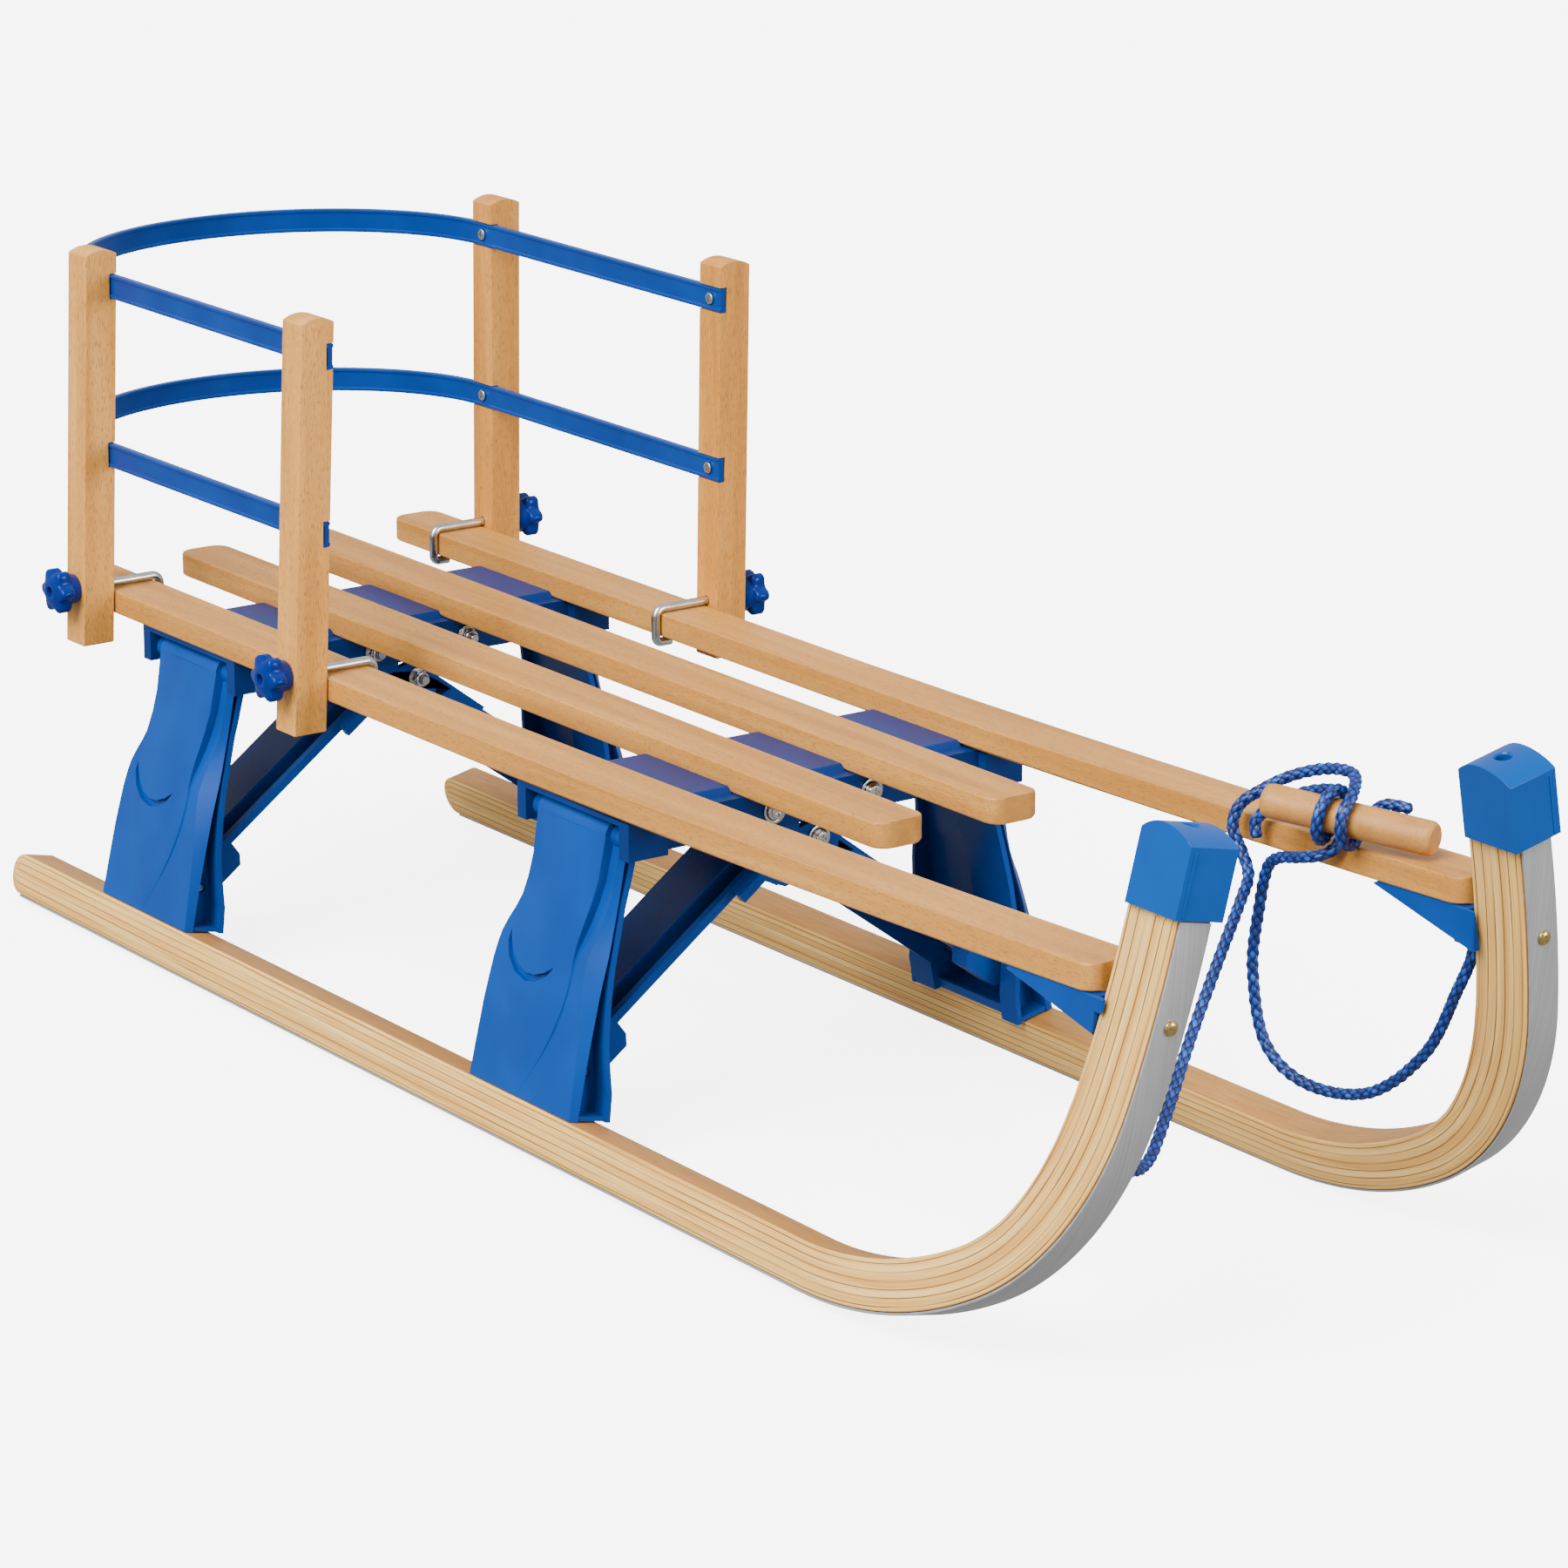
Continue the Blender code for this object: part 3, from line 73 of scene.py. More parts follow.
def smooth_line(places, spacing):
    """Even points along a smooth curve through the given places."""
    points = [Vector(place) for place in places]
    points = [2 * points[0] - points[1]] + points + [2 * points[-1] - points[-2]]
    dense = []
    for before, start, end, after in zip(points, points[1:], points[2:], points[3:]):
        for i in range(CURVE_STEPS):
            t = i / CURVE_STEPS
            dense.append(0.5 * ((2 * start) + (end - before) * t
                                + (2 * before - 5 * start + 4 * end - after) * t ** 2
                                + (3 * start - before - 3 * end + after) * t ** 3))
    dense.append(points[-2])
    total = sum((b - a).length for a, b in zip(dense, dense[1:]))
    count = max(2, round(total / spacing))
    line = [dense[0]]
    wanted = total / count
    walked = 0.0
    for a, b in zip(dense, dense[1:]):
        step = (b - a).length
        while walked + step >= wanted * len(line) and len(line) < count:
            line.append(a.lerp(b, (wanted * len(line) - walked) / step))
        walked += step
    line.append(dense[-1])
    return line


TOGGLE_REAR = (79.6, -380.2, 243.2)
TOGGLE_FRONT = (117.2, -472.2, 236.9)
WRAP_AT = 0.463  # share of the toggle's length where the turns lie
WRAP_RADIUS = 13.9


def wrap_places(along_first, along_last, first_turn, last_turn, steps):
    """Places round the toggle; turns are in degrees from the top, going down the inner side."""
    start = Vector(TOGGLE_REAR)
    end = Vector(TOGGLE_FRONT)
    axis = (end - start).normalized()
    inward = axis.cross(Vector((0, 0, 1))).normalized()
    up = inward.cross(axis)
    middle = start.lerp(end, WRAP_AT)
    places = []
    for i in range(steps + 1):
        part = i / steps
        turn = math.radians(first_turn + (last_turn - first_turn) * part)
        centre = middle + axis * (along_first + (along_last - along_first) * part)
        places.append(centre + (up * math.cos(turn) + inward * math.sin(turn)) * WRAP_RADIUS)
    return places


ROPE_DIAMETER = 7.0
ROPE_EXIT_Y = -498.0
# Down from the bracket, across in a sag, up the inner side of the left slat and over it
RIGHT_ROUTE = [(-121.0, ROPE_EXIT_Y, 187.7), (-121.0, ROPE_EXIT_Y, 179.0),
               (-118.0, -491.0, 160.0), (-106.0, -482.0, 124.0), (-84.0, -470.0, 99.0),
               (-58.0, -455.0, 92.0), (-28.0, -433.0, 104.0), (8.0, -408.0, 131.0),
               (44.0, -386.0, 160.0), (76.0, -366.0, 183.0), (91.0, -355.0, 193.0),
               (93.6, -346.0, 204.0), (92.6, -339.5, 216.0), (96.0, -341.0, 228.0),
               (104.0, -349.0, 237.0), (112.5, -361.0, 245.5), (118.0, -378.0, 252.5),
               (119.0, -396.0, 256.5), (114.0, -412.0, 257.0)]
RIGHT_ROUTE += wrap_places(5.0, 5.8, 12.0, 258.0, 6)
RIGHT_ROUTE += [(117.5, -431.0, 245.5), (121.0, -440.0, 246.5), (123.0, -446.0, 246.0)]
# Down from the bracket, in a loop under the left slat, and up beside the other half
LEFT_ROUTE = [(121.0, ROPE_EXIT_Y, 187.7), (121.0, ROPE_EXIT_Y, 179.0),
              (119.0, -490.5, 160.0), (116.5, -471.0, 121.0), (113.0, -433.0, 88.5),
              (108.0, -388.0, 81.0), (103.0, -358.5, 97.0), (99.5, -350.5, 138.0),
              (98.5, -356.0, 175.0), (97.4, -363.0, 198.0), (94.4, -375.0, 207.0),
              (92.0, -392.0, 212.0), (93.0, -408.0, 216.6), (97.6, -415.4, 221.6)]
LEFT_ROUTE += wrap_places(-2.8, -12.2, 222.0, 610.0, 9)
LEFT_ROUTE += [(111.4, -400.0, 246.4), (111.6, -384.0, 243.6), (106.5, -370.0, 237.6),
               (99.4, -361.0, 230.6), (95.2, -355.0, 222.0), (94.6, -357.0, 213.6)]

STRANDS = 8
PLAIT_PITCH = 27.0
ROUND_STEPS = 44
BRAID_RELIEF = 1.05  # depth of the valleys between the strands
END_WIDTH = 0.72  # share of the full width at the cut ends
END_TAPER = 1.6
ROPE_STEP = 0.6  # along the rope, between rings of the mesh


def plait_height(a, b):
    """Relief of a plain braid, 0 to 1, and which of the two strand families lies on top."""
    across_a = a - math.floor(a)
    across_b = b - math.floor(b)
    first_on_top = (math.floor(a) + math.floor(b)) % 2 == 0
    crown, run = (across_b, across_a) if first_on_top else (across_a, across_b)
    height = math.sin(math.pi * crown) ** 0.6 * (0.45 + 0.55 * math.sin(math.pi * run) ** 0.7)
    return height, first_on_top


def tube_faces(rings, count):
    """Faces of a tube made of rings of points, closed at both ends."""
    faces = []
    for i in range(rings - 1):
        for j in range(count):
            k = (j + 1) % count
            faces.append((i * count + j, i * count + k, (i + 1) * count + k, (i + 1) * count + j))
    last = (rings - 1) * count
    return faces + [tuple(range(count)), tuple(last + j for j in reversed(range(count)))]


def new_piece(name, places, faces):
    """Object from points and faces, with the faces turned outward."""
    mesh = bpy.data.meshes.new(name)
    mesh.from_pydata([tuple(place) for place in places], [], faces)
    work = bmesh.new()
    work.from_mesh(mesh)
    bmesh.ops.recalc_face_normals(work, faces=work.faces)
    work.to_mesh(mesh)
    work.free()
    piece = bpy.data.objects.new(name, mesh)
    bpy.context.scene.collection.objects.link(piece)
    return piece


def store(mesh, name, values):
    """Keep one number per point on the mesh, for its material to read."""
    mesh.attributes.new(name, "FLOAT", "POINT").data.foreach_set("value", values)


def braided_tube(name, line, diameter):
    """Tube along a line, its surface raised into the strands of a braid."""
    radius = diameter / 2
    across = (line[1] - line[0]).cross(Vector((0, 0, 1)))
    if across.length < 0.001:
        across = Vector((1, 0, 0))
    across.normalize()
    places = []
    shades = []
    shine = random.Random(7)
    tones = [shine.uniform(0.0, 1.0) for _ in range(4 * STRANDS)]
    walked = 0.0
    last = len(line) - 1
    for i, centre in enumerate(line):
        run = (line[min(i + 1, last)] - line[max(i - 1, 0)]).normalized()
        across = (across - run * across.dot(run)).normalized()
        other = run.cross(across)
        if i:
            walked += (centre - line[i - 1]).length
        end_gap = min(walked, (last - i) * (line[1] - line[0]).length)
        pinch = min(1.0, END_WIDTH + (1.0 - END_WIDTH) * end_gap / END_TAPER)
        for j in range(ROUND_STEPS):
            turn = 2 * math.pi * j / ROUND_STEPS
            share = STRANDS / 2 * j / ROUND_STEPS
            a = walked / PLAIT_PITCH * STRANDS / 2 + share
            b = walked / PLAIT_PITCH * STRANDS / 2 - share + 100 * STRANDS
            height, first = plait_height(a, b)
            reach = (radius - BRAID_RELIEF * (1.0 - height)) * pinch
            places.append(centre + (across * math.cos(turn) + other * math.sin(turn)) * reach)
            strand = math.floor(b) if first else math.floor(a) + 2 * STRANDS
            # The first number is the depth in the braid, which the rope's material turns into painted
            # shade.
            shades.append((0.25 + 0.75 * height, tones[strand % len(tones)]))
    rope = new_piece(name, [sled_point(*place) for place in places], tube_faces(len(line), ROUND_STEPS))
    store(rope.data, "depth_in_braid", [shade[0] for shade in shades])
    store(rope.data, "strand_tone", [shade[1] for shade in shades])
    rope.data.shade_smooth()
    return rope


def linear(hex_text):
    """sRGB hex colour as the linear colour that nodes take."""
    parts = [int(hex_text[i:i + 2], 16) / 255 for i in (1, 3, 5)]
    return tuple(c / 12.92 if c <= 0.04045 else ((c + 0.055) / 1.055) ** 2.4
                 for c in parts) + (1.0,)


def node(tree, kind, settings=None, links=None):
    """Add a node, set its properties or inputs, and link its inputs to other nodes' outputs."""
    made = tree.nodes.new("ShaderNode" + kind)
    for key, value in (settings or {}).items():
        if isinstance(key, str) and hasattr(made, key):
            setattr(made, key, value)
        else:
            made.inputs[key].default_value = value
    for key, source in (links or {}).items():
        tree.links.new(source, made.inputs[key])
    return made


def new_material(name, roughness, metallic=0.0, gloss=0.5):
    """Empty material with its Principled shader; gloss is the specular level."""
    material = bpy.data.materials.new(name)
    material.use_nodes = True
    shader = material.node_tree.nodes["Principled BSDF"]
    shader.inputs["Roughness"].default_value = roughness
    shader.inputs["Metallic"].default_value = metallic
    shader.inputs["IOR"].default_value = 1.5
    shader.inputs["Specular IOR Level"].default_value = gloss
    return material, material.node_tree, shader


def ramp(tree, source, stops, smooth=False):
    """Colour ramp over a value, with stops of (place, hex colour)."""
    made = node(tree, "ValToRGB", links={"Fac": source})
    made.color_ramp.interpolation = "EASE" if smooth else "LINEAR"
    marks = made.color_ramp.elements
    while len(marks) < len(stops):
        marks.new(0.5)
    for mark, (place, hex_text) in zip(marks, stops):
        mark.position = place
        mark.color = linear(hex_text)
    return made.outputs["Color"]


def noise(tree, vector, detail=2.0, **settings):
    """Value of a noise pattern whose cells are one unit of its vector wide."""
    made = node(tree, "TexNoise", {"Scale": 1.0, "Detail": detail, **settings}, {"Vector": vector})
    return made.outputs["Fac"]


# Braided polypropylene: glossy filaments, so each strand has its own highlight, and painted shade
# darkens the valleys between the strands. Strands differ a little in tone.
rope_blue, tree, shader = new_material("braided_polypropylene_blue", 0.4, gloss=0.45)
depth = node(tree, "Attribute", {"attribute_name": "depth_in_braid"}).outputs["Fac"]
tone = node(tree, "Attribute", {"attribute_name": "strand_tone"}).outputs["Fac"]
place = node(tree, "TexCoord").outputs["Object"]
# Filaments are finer than a tenth of a millimetre; drawn 0.4 mm wide so that they show
filaments = node(tree, "TexNoise", {"Scale": 1.0 / (0.4 * MM), "Detail": 1.0},
                 {"Vector": place}).outputs["Fac"]
strand = ramp(tree, tone, [(0.0, "#002c78"), (0.5, "#003c98"), (0.85, "#044eb0"), (1.0, "#1862c4")])
# Painted shade: near black where the surface lies deep in the braid, no change on the strand crowns.
painted_valley_shade = ramp(tree, depth, [(0.3, "#05080f"), (0.6, "#707c98"), (0.9, "#ffffff")])
strand_colour_with_painted_shade = node(tree, "Mix", {"data_type": "RGBA", "blend_type": "MULTIPLY", "Factor": 1.0},
                     {6: strand, 7: painted_valley_shade}).outputs[2]
tree.links.new(strand_colour_with_painted_shade, shader.inputs["Base Color"])
bump = node(tree, "Bump", {"Strength": 0.1, "Distance": 0.06 * MM}, {"Height": filaments})
tree.links.new(bump.outputs["Normal"], shader.inputs["Normal"])

for name, route in (("right_rope", RIGHT_ROUTE), ("left_rope", LEFT_ROUTE)):
    line = smooth_line(route, ROPE_STEP)
    rope = braided_tube(name + "_braid", line, ROPE_DIAMETER)
    rope.data.materials.append(rope_blue)
    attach(rope, "sled")
    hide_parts(name)


# Studio: a pale backlit floor, as a light table, one very wide soft light high at the camera's
# left, and two soft boxes for the highlights. The room is bright above and dim below.
bpy.ops.object.select_all(action="DESELECT")
bpy.ops.mesh.primitive_plane_add(size=60.0, location=(0.0, 12.0, -0.0005))
floor = bpy.context.object
floor.name = "studio_floor"
paper, tree, shader = new_material("backlit_paper_floor", 0.95, gloss=0.0)
shader.inputs["Base Color"].default_value = linear("#f2f2f2")
shader.inputs["Emission Color"].default_value = linear("#ffffff")
shader.inputs["Emission Strength"].default_value = 5.0
floor.data.materials.append(paper)
floor.visible_diffuse = False
floor.visible_glossy = False

room = bpy.data.worlds.new("room")
room.use_nodes = True
tree = room.node_tree
direction = node(tree, "TexCoord").outputs["Generated"]
upward = node(tree, "SeparateXYZ", {}, {"Vector": direction}).outputs["Z"]
walls = node(tree, "MapRange", {"From Min": -0.3, "From Max": 0.5, "To Min": 0.45, "To Max": 0.95},
             {"Value": upward})
tree.links.new(walls.outputs["Result"], tree.nodes["Background"].inputs["Strength"])
tree.nodes["Background"].inputs["Color"].default_value = linear("#ffffff")
bpy.context.scene.world = room


def lamp(name, kind, place, aim, power):
    """Light that stands at a place and looks at a point."""
    light = bpy.data.lights.new(name, kind)
    light.energy = power
    stand = bpy.data.objects.new(name, light)
    stand.location = place
    stand.rotation_euler = (Vector(aim) - Vector(place)).to_track_quat("-Z", "Y").to_euler()
    bpy.context.scene.collection.objects.link(stand)
    return light


SLED_MIDDLE = (0.0, 0.0, 0.2)
SKY_WIDTH = math.radians(40.0)
lamp("wide_sky_light", "SUN", (-3.0, -1.0, 3.6), SLED_MIDDLE, 5.8).angle = SKY_WIDTH
for name, place, width, height, power in (("left_box", (-2.6, -0.6, 1.3), 0.5, 1.6, 30.0),
                                          ("front_box", (1.3, -3.0, 0.9), 0.9, 1.6, 75.0)):
    box = lamp(name, "AREA", place, SLED_MIDDLE, power)
    box.shape = "RECTANGLE"
    box.size = width
    box.size_y = height


# Slats: four planed beech boards, 34 by 15 mm, varnished clear, with rounded corners.
# The outer pair runs on to the horns. They are screwed down from below.
WELD = 0.01 * MM
FLAT_WITHIN = math.radians(0.3)
SHARP_OVER = math.radians(35)
SMOOTH_UNDER = math.radians(40)


def polished(name, width, body, material, segments=3):
    """Copy of a solid with its triangles joined to whole faces and its edges rounded."""
    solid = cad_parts[name]
    piece = bpy.data.objects.new(name + "_finish", solid.data.copy())
    bpy.context.scene.collection.objects.link(piece)
    work = bmesh.new()
    work.from_mesh(piece.data)
    bmesh.ops.remove_doubles(work, verts=work.verts, dist=WELD)
    bmesh.ops.dissolve_limit(work, angle_limit=FLAT_WITHIN, verts=work.verts, edges=work.edges,
                             use_dissolve_boundaries=False)
    work.to_mesh(piece.data)
    work.free()
    if width:
        rounding = piece.modifiers.new("rounding", "BEVEL")
        rounding.width = width * MM
        rounding.segments = segments
        rounding.limit_method = "ANGLE"
        rounding.angle_limit = SHARP_OVER
        rounding.use_clamp_overlap = True
        rounding.miter_outer = "MITER_ARC"
        use_alone(piece)
        bpy.ops.object.modifier_apply(modifier=rounding.name)
    use_alone(piece)
    bpy.ops.object.shade_smooth_by_angle(angle=SMOOTH_UNDER)
    weighted = piece.modifiers.new("even_shading", "WEIGHTED_NORMAL")
    weighted.keep_sharp = True
    weighted.weight = 80
    bpy.ops.object.modifier_apply(modifier=weighted.name)
    piece.data.materials.clear()
    piece.data.materials.append(material)
    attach(piece, body)
    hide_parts(name)
    return piece


def use_alone(piece):
    """Make a piece the only selected and the active one."""
    bpy.ops.object.select_all(action="DESELECT")
    piece.select_set(True)
    bpy.context.view_layer.objects.active = piece


# Beech, planed and varnished clear: an even tan ground with faint growth bands, a fine
# thread of fibres, and the short dark rays that mark this wood, 0.6 mm wide and 4 mm long.
def beech(name, grain, offset, light="#cc9246", middle="#c1863c", dark="#b47a32", rays=0.42):
    """Beech for one piece; its fibres run along the axis grain, and offset moves the figure."""
    material, tree, shader = new_material(name, 0.42, gloss=0.35)
    place = node(tree, "TexCoord").outputs["Object"]
    moved = node(tree, "Mapping", {"Location": offset}, {"Vector": place}).outputs["Vector"]

    def along_grain(across_mm, along_mm):
        scale = [1.0 / (across_mm * MM)] * 3
        scale["XYZ".index(grain)] = 1.0 / (along_mm * MM)
        return node(tree, "Mapping", {"Scale": scale}, {"Vector": moved}).outputs["Vector"]

    bands = noise(tree, along_grain(12.0, 240.0), Roughness=0.5, Distortion=0.3)
    fibres = noise(tree, along_grain(0.6, 14.0), 3.0, Roughness=0.6)
    flecks = noise(tree, along_grain(0.62, 4.2), 0.0)
    ground = ramp(tree, bands, [(0.3, dark), (0.5, middle), (0.7, light)], True)
    lines = ramp(tree, fibres, [(0.3, "#d8cdbf"), (0.58, "#ffffff")])
    figured = node(tree, "Mix", {"data_type": "RGBA", "blend_type": "MULTIPLY", "Factor": 0.5},
                   {6: ground, 7: lines}).outputs[2]
    marks = node(tree, "MapRange", {"From Min": 0.62, "From Max": 0.7, "To Min": 0.0, "To Max": rays},
                 {"Value": flecks}).outputs["Result"]
    flecked = node(tree, "Mix", {"data_type": "RGBA", 7: linear("#8a5220")},
                   {0: marks, 6: figured}).outputs[2]
    tree.links.new(flecked, shader.inputs["Base Color"])
    gloss = node(tree, "MapRange", {"To Min": 0.38, "To Max": 0.52}, {"Value": fibres}).outputs["Result"]
    tree.links.new(gloss, shader.inputs["Roughness"])
    bump = node(tree, "Bump", {"Strength": 0.1, "Distance": 0.1 * MM}, {"Height": fibres})
    tree.links.new(bump.outputs["Normal"], shader.inputs["Normal"])
    return material


for i, name in enumerate(("right_outer_slat", "right_inner_slat", "left_inner_slat", "left_outer_slat")):
    wood = beech("planed_beech_" + name, "Y", (0.11 * i, 0.37 * i, 0.05 * i))
    polished(name, 0.0, "sled", wood)


# Toggle: a short turned beech rod with broken edges, sanded plain and not varnished. It is
# the handle of the pull rope, which is wound round it.
toggle_wood = beech("sanded_beech_toggle", "Y", (0.3, 0.2, 0.7), "#c48c48", "#b8803e", "#aa7434", 0.3)
polished("toggle", 0.0, "sled", toggle_wood)


# Runners: 22 mm wide strips of pale wood glued up and bent into horns. The sides show the
# layers as long lines that follow the bend; the top and inner face are one orange layer.
CANT = math.radians(12.19)  # of each side frame, inward
SOLE_X = 166.1
STRIP_HALF = 10.0
SOLE_Z = STRIP_HALF * math.sin(CANT)
STRIP_THICK = 1.5
WOOD_FROM = STRIP_THICK + 0.3
RUNNER_HALF = 11.0
RUNNER_EDGE = 1.2
RUNNER_REAR = 542.5
REAR_CORNER = 11.0
REAR_STEPS = 8
RUNNER_HIGH = 27.5
FLAT_END = -314.0
# Bends from the flat to the horn: radius of the sole, degrees, and steps
BENDS = [(280.0, 30.0, 5), (182.0, 49.0, 10), (652.0, 8.0, 4)]
BEND_FINER = 4
# Full thickness by the slope of the sole in degrees
THICKNESS = [(0.0, 27.5), (10.0, 28.6), (20.0, 29.4), (30.0, 29.8), (42.0, 31.6), (53.0, 34.9),
             (60.0, 37.0), (66.0, 38.4), (72.0, 39.6), (79.0, 40.0), (87.0, 39.6)]
CAP_LOW = 260.0
HORN_THICK = 39.5
TENON_THICK = 36.4
TENON_TOP = 293.0
LAYERS = 6.0  # glued layers in the thickness
FIRST_LAYER = 0.3


def in_frame(side, o, y, h):
    """Point of a canted side frame: o outward, h up the frame."""
    x = SOLE_X - h * math.sin(CANT) + o * math.cos(CANT)
    z = SOLE_Z + h * math.cos(CANT) + o * math.sin(CANT)
    return sled_point(side * x, y, z)


def value_at(table, key):
    """Straight-line value in a table of (key, value) sorted by key."""
    if key <= table[0][0]:
        return table[0][1]
    for (a, va), (b, vb) in zip(table, table[1:]):
        if key <= b:
            return va + (vb - va) * (key - a) / (b - a)
    return table[-1][1]


def sole_line(finer):
    """Sole stations from the rear to the horn, as y, h and slope."""
    line = [(y, 0.0, 0.0) for y in (531.5, 400.0, 250.0, 100.0, -50.0, -200.0, -280.0, FLAT_END)]
    y, h = FLAT_END, 0.0
    turned = 0.0
    for radius, degrees, coarse in BENDS:
        steps = coarse * finer
        middle = (y + radius * math.sin(turned), h + radius * math.cos(turned))
        begin = turned
        for i in range(1, steps + 1):
            turned = begin + math.radians(degrees) * i / steps
            y = middle[0] - radius * math.sin(turned)
            h = middle[1] - radius * math.cos(turned)
            line.append((y, h, turned))
    return line


def from_sole(station, depth):
    """Point at a depth inward from the sole."""
    y, h, turned = station
    return y + depth * math.sin(turned), h + depth * math.cos(turned)


def up_horn(line, reach):
    """Station on the straight top of the horn, at a height h."""
    y, h, turned = line[-1]
    return y - (reach - h) / math.tan(turned), reach, turned


def lengthwise_piece(name, side, near, far, half, edge, steps=3):
    """Bar between two matching lines with rounded long edges.

    It stores the depth, the length run and the layer at each point, for the wood's figure.
    """
    rows = []
    facts = []
    walked = 0.0
    for i, ((ya, ha), (yb, hb)) in enumerate(zip(near, far)):
        if i:
            walked += math.hypot(ya - near[i - 1][0], ha - near[i - 1][1])
        deep = math.hypot(yb - ya, hb - ha)
        soft = min(edge, deep * 0.45)
        ring = []
        corners = ((half, 0.0, 270), (half, deep, 0), (-half, deep, 90), (-half, 0.0, 180))
        for corner_o, corner_d, start in corners:
            inner_o = corner_o - math.copysign(soft, corner_o)
            inner_d = corner_d + (soft if corner_d == 0.0 else -soft)
            for k in range(steps + 1):
                turn = math.radians(start + 90.0 * k / steps)
                o = inner_o + soft * math.cos(turn)
                d = inner_d + soft * math.sin(turn)
                ring.append((o, d / deep))
        rows.append([in_frame(side, o, ya + (yb - ya) * t, ha + (hb - ha) * t) for o, t in ring])
        facts += [(t * deep, walked, LAYERS * t + FIRST_LAYER) for o, t in ring]
    piece = new_piece(name, [place for row in rows for place in row], tube_faces(len(rows), len(rows[0])))
    for i, fact_name in enumerate(("depth_mm", "along_mm", "layer")):
        store(piece.data, fact_name, [fact[i] for fact in facts])
    use_alone(piece)
    bpy.ops.object.shade_smooth_by_angle(angle=math.radians(32))
    return piece


def layer_coordinates(tree, depth_mm, along_mm):
    """Place on the bent wood as (depth, length run), stretched by real sizes."""
    depth = node(tree, "Attribute", {"attribute_name": "depth_mm"}).outputs["Fac"]
    along = node(tree, "Attribute", {"attribute_name": "along_mm"}).outputs["Fac"]
    deep = node(tree, "Math", {"operation": "DIVIDE", 1: depth_mm}, {0: depth}).outputs[0]
    far = node(tree, "Math", {"operation": "DIVIDE", 1: along_mm}, {0: along}).outputs[0]
    return node(tree, "CombineXYZ", {}, {"X": deep, "Y": far}).outputs["Vector"]


# Laminated pine, cut side: straw ground with a brown line at each glue joint. The lines come
# and go along the runner, and finer late-wood streaks run between them, under clear varnish.
pine_side, tree, shader = new_material("laminated_pine_side", 0.4, gloss=0.35)
wander = noise(tree, layer_coordinates(tree, 25.0, 170.0))
layer = node(tree, "Attribute", {"attribute_name": "layer"}).outputs["Fac"]
drawn = node(tree, "Math", {"operation": "MULTIPLY_ADD", 1: 0.5}, {0: wander, 2: layer}).outputs[0]
in_layer = node(tree, "Math", {"operation": "FRACT"}, {0: drawn}).outputs[0]
joint_line = ramp(tree, in_layer, [(0.0, "#ffffff"), (0.05, "#ffffff"), (0.12, "#000000"),
                                   (0.84, "#000000"), (0.93, "#404040"), (1.0, "#ffffff")])
strength = noise(tree, layer_coordinates(tree, 5.0, 110.0), 1.0)
strong = node(tree, "MapRange", {"From Min": 0.3, "From Max": 0.55, "To Min": 0.3, "To Max": 1.0},
              {"Value": strength}).outputs["Result"]
shown = node(tree, "Math", {"operation": "MULTIPLY"}, {0: joint_line, 1: strong}).outputs[0]
broad = noise(tree, layer_coordinates(tree, 6.0, 300.0))
ground = ramp(tree, broad, [(0.36, "#dba858"), (0.52, "#e8bc6c"), (0.66, "#f2cc80")], True)
streaks = noise(tree, layer_coordinates(tree, 0.7, 90.0), 3.0, Roughness=0.6)
streak_colour = ramp(tree, streaks, [(0.32, "#b88c50"), (0.44, "#ecd8b4"), (0.58, "#ffffff")])
streaked = node(tree, "Mix", {"data_type": "RGBA", "blend_type": "MULTIPLY", "Factor": 0.6},
                {6: ground, 7: streak_colour}).outputs[2]
lined = node(tree, "Mix", {"data_type": "RGBA", 7: linear("#6e420e")}, {0: shown, 6: streaked}).outputs[2]
tree.links.new(lined, shader.inputs["Base Color"])
bump = node(tree, "Bump", {"Strength": 0.1, "Distance": 0.1 * MM}, {"Height": streaks})
tree.links.new(bump.outputs["Normal"], shader.inputs["Normal"])

# Its broad faces are single layers of plain orange-brown veneer with long fibres.
pine_face, tree, shader = new_material("veneer_runner_face", 0.4, gloss=0.35)
place = node(tree, "TexCoord").outputs["Object"]
# Fibres 1.1 mm wide across the face, 5 mm up the horn and 33 mm along
stretched = node(tree, "Mapping", {"Scale": (900.0, 30.0, 200.0)}, {"Vector": place}).outputs["Vector"]
fibres = noise(tree, stretched, 4.0, Roughness=0.6)
face_colour = ramp(tree, fibres, [(0.3, "#9c682c"), (0.5, "#ac7838"), (0.7, "#b88444")], True)
tree.links.new(face_colour, shader.inputs["Base Color"])

stations = sole_line(BEND_FINER)
sole = []
top = []
for i in range(REAR_STEPS + 1):
    turn = math.pi / 2 * i / REAR_STEPS
    y = RUNNER_REAR - REAR_CORNER * (1 - math.cos(turn))
    inset = REAR_CORNER * (1 - math.sin(turn))
    sole.append((y, WOOD_FROM + inset))
    top.append((y, RUNNER_HIGH - inset))
for station in stations[1:]:
    sole.append(from_sole(station, WOOD_FROM))
    top.append(from_sole(station, value_at(THICKNESS, math.degrees(station[2]))))
for height, thick in ((CAP_LOW - 3.0, HORN_THICK), (CAP_LOW - 2.6, TENON_THICK), (TENON_TOP, TENON_THICK)):
    sole.append(from_sole(up_horn(stations, height), WOOD_FROM))
    top.append(from_sole(up_horn(stations, height), thick))
for side, hand in ((1, "left"), (-1, "right")):
    runner = lengthwise_piece(hand + "_runner_wood", side, sole, top, RUNNER_HALF, RUNNER_EDGE)
    runner.data.materials.append(pine_side)
    runner.data.materials.append(pine_face)
    outward = Vector((math.cos(CANT) * side, 0.0, math.sin(CANT)))
    for face in runner.data.polygons:
        face.material_index = 0 if abs(face.normal.dot(outward)) > 0.7 else 1
    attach(runner, "sled")
    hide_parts(hand + "_runner")


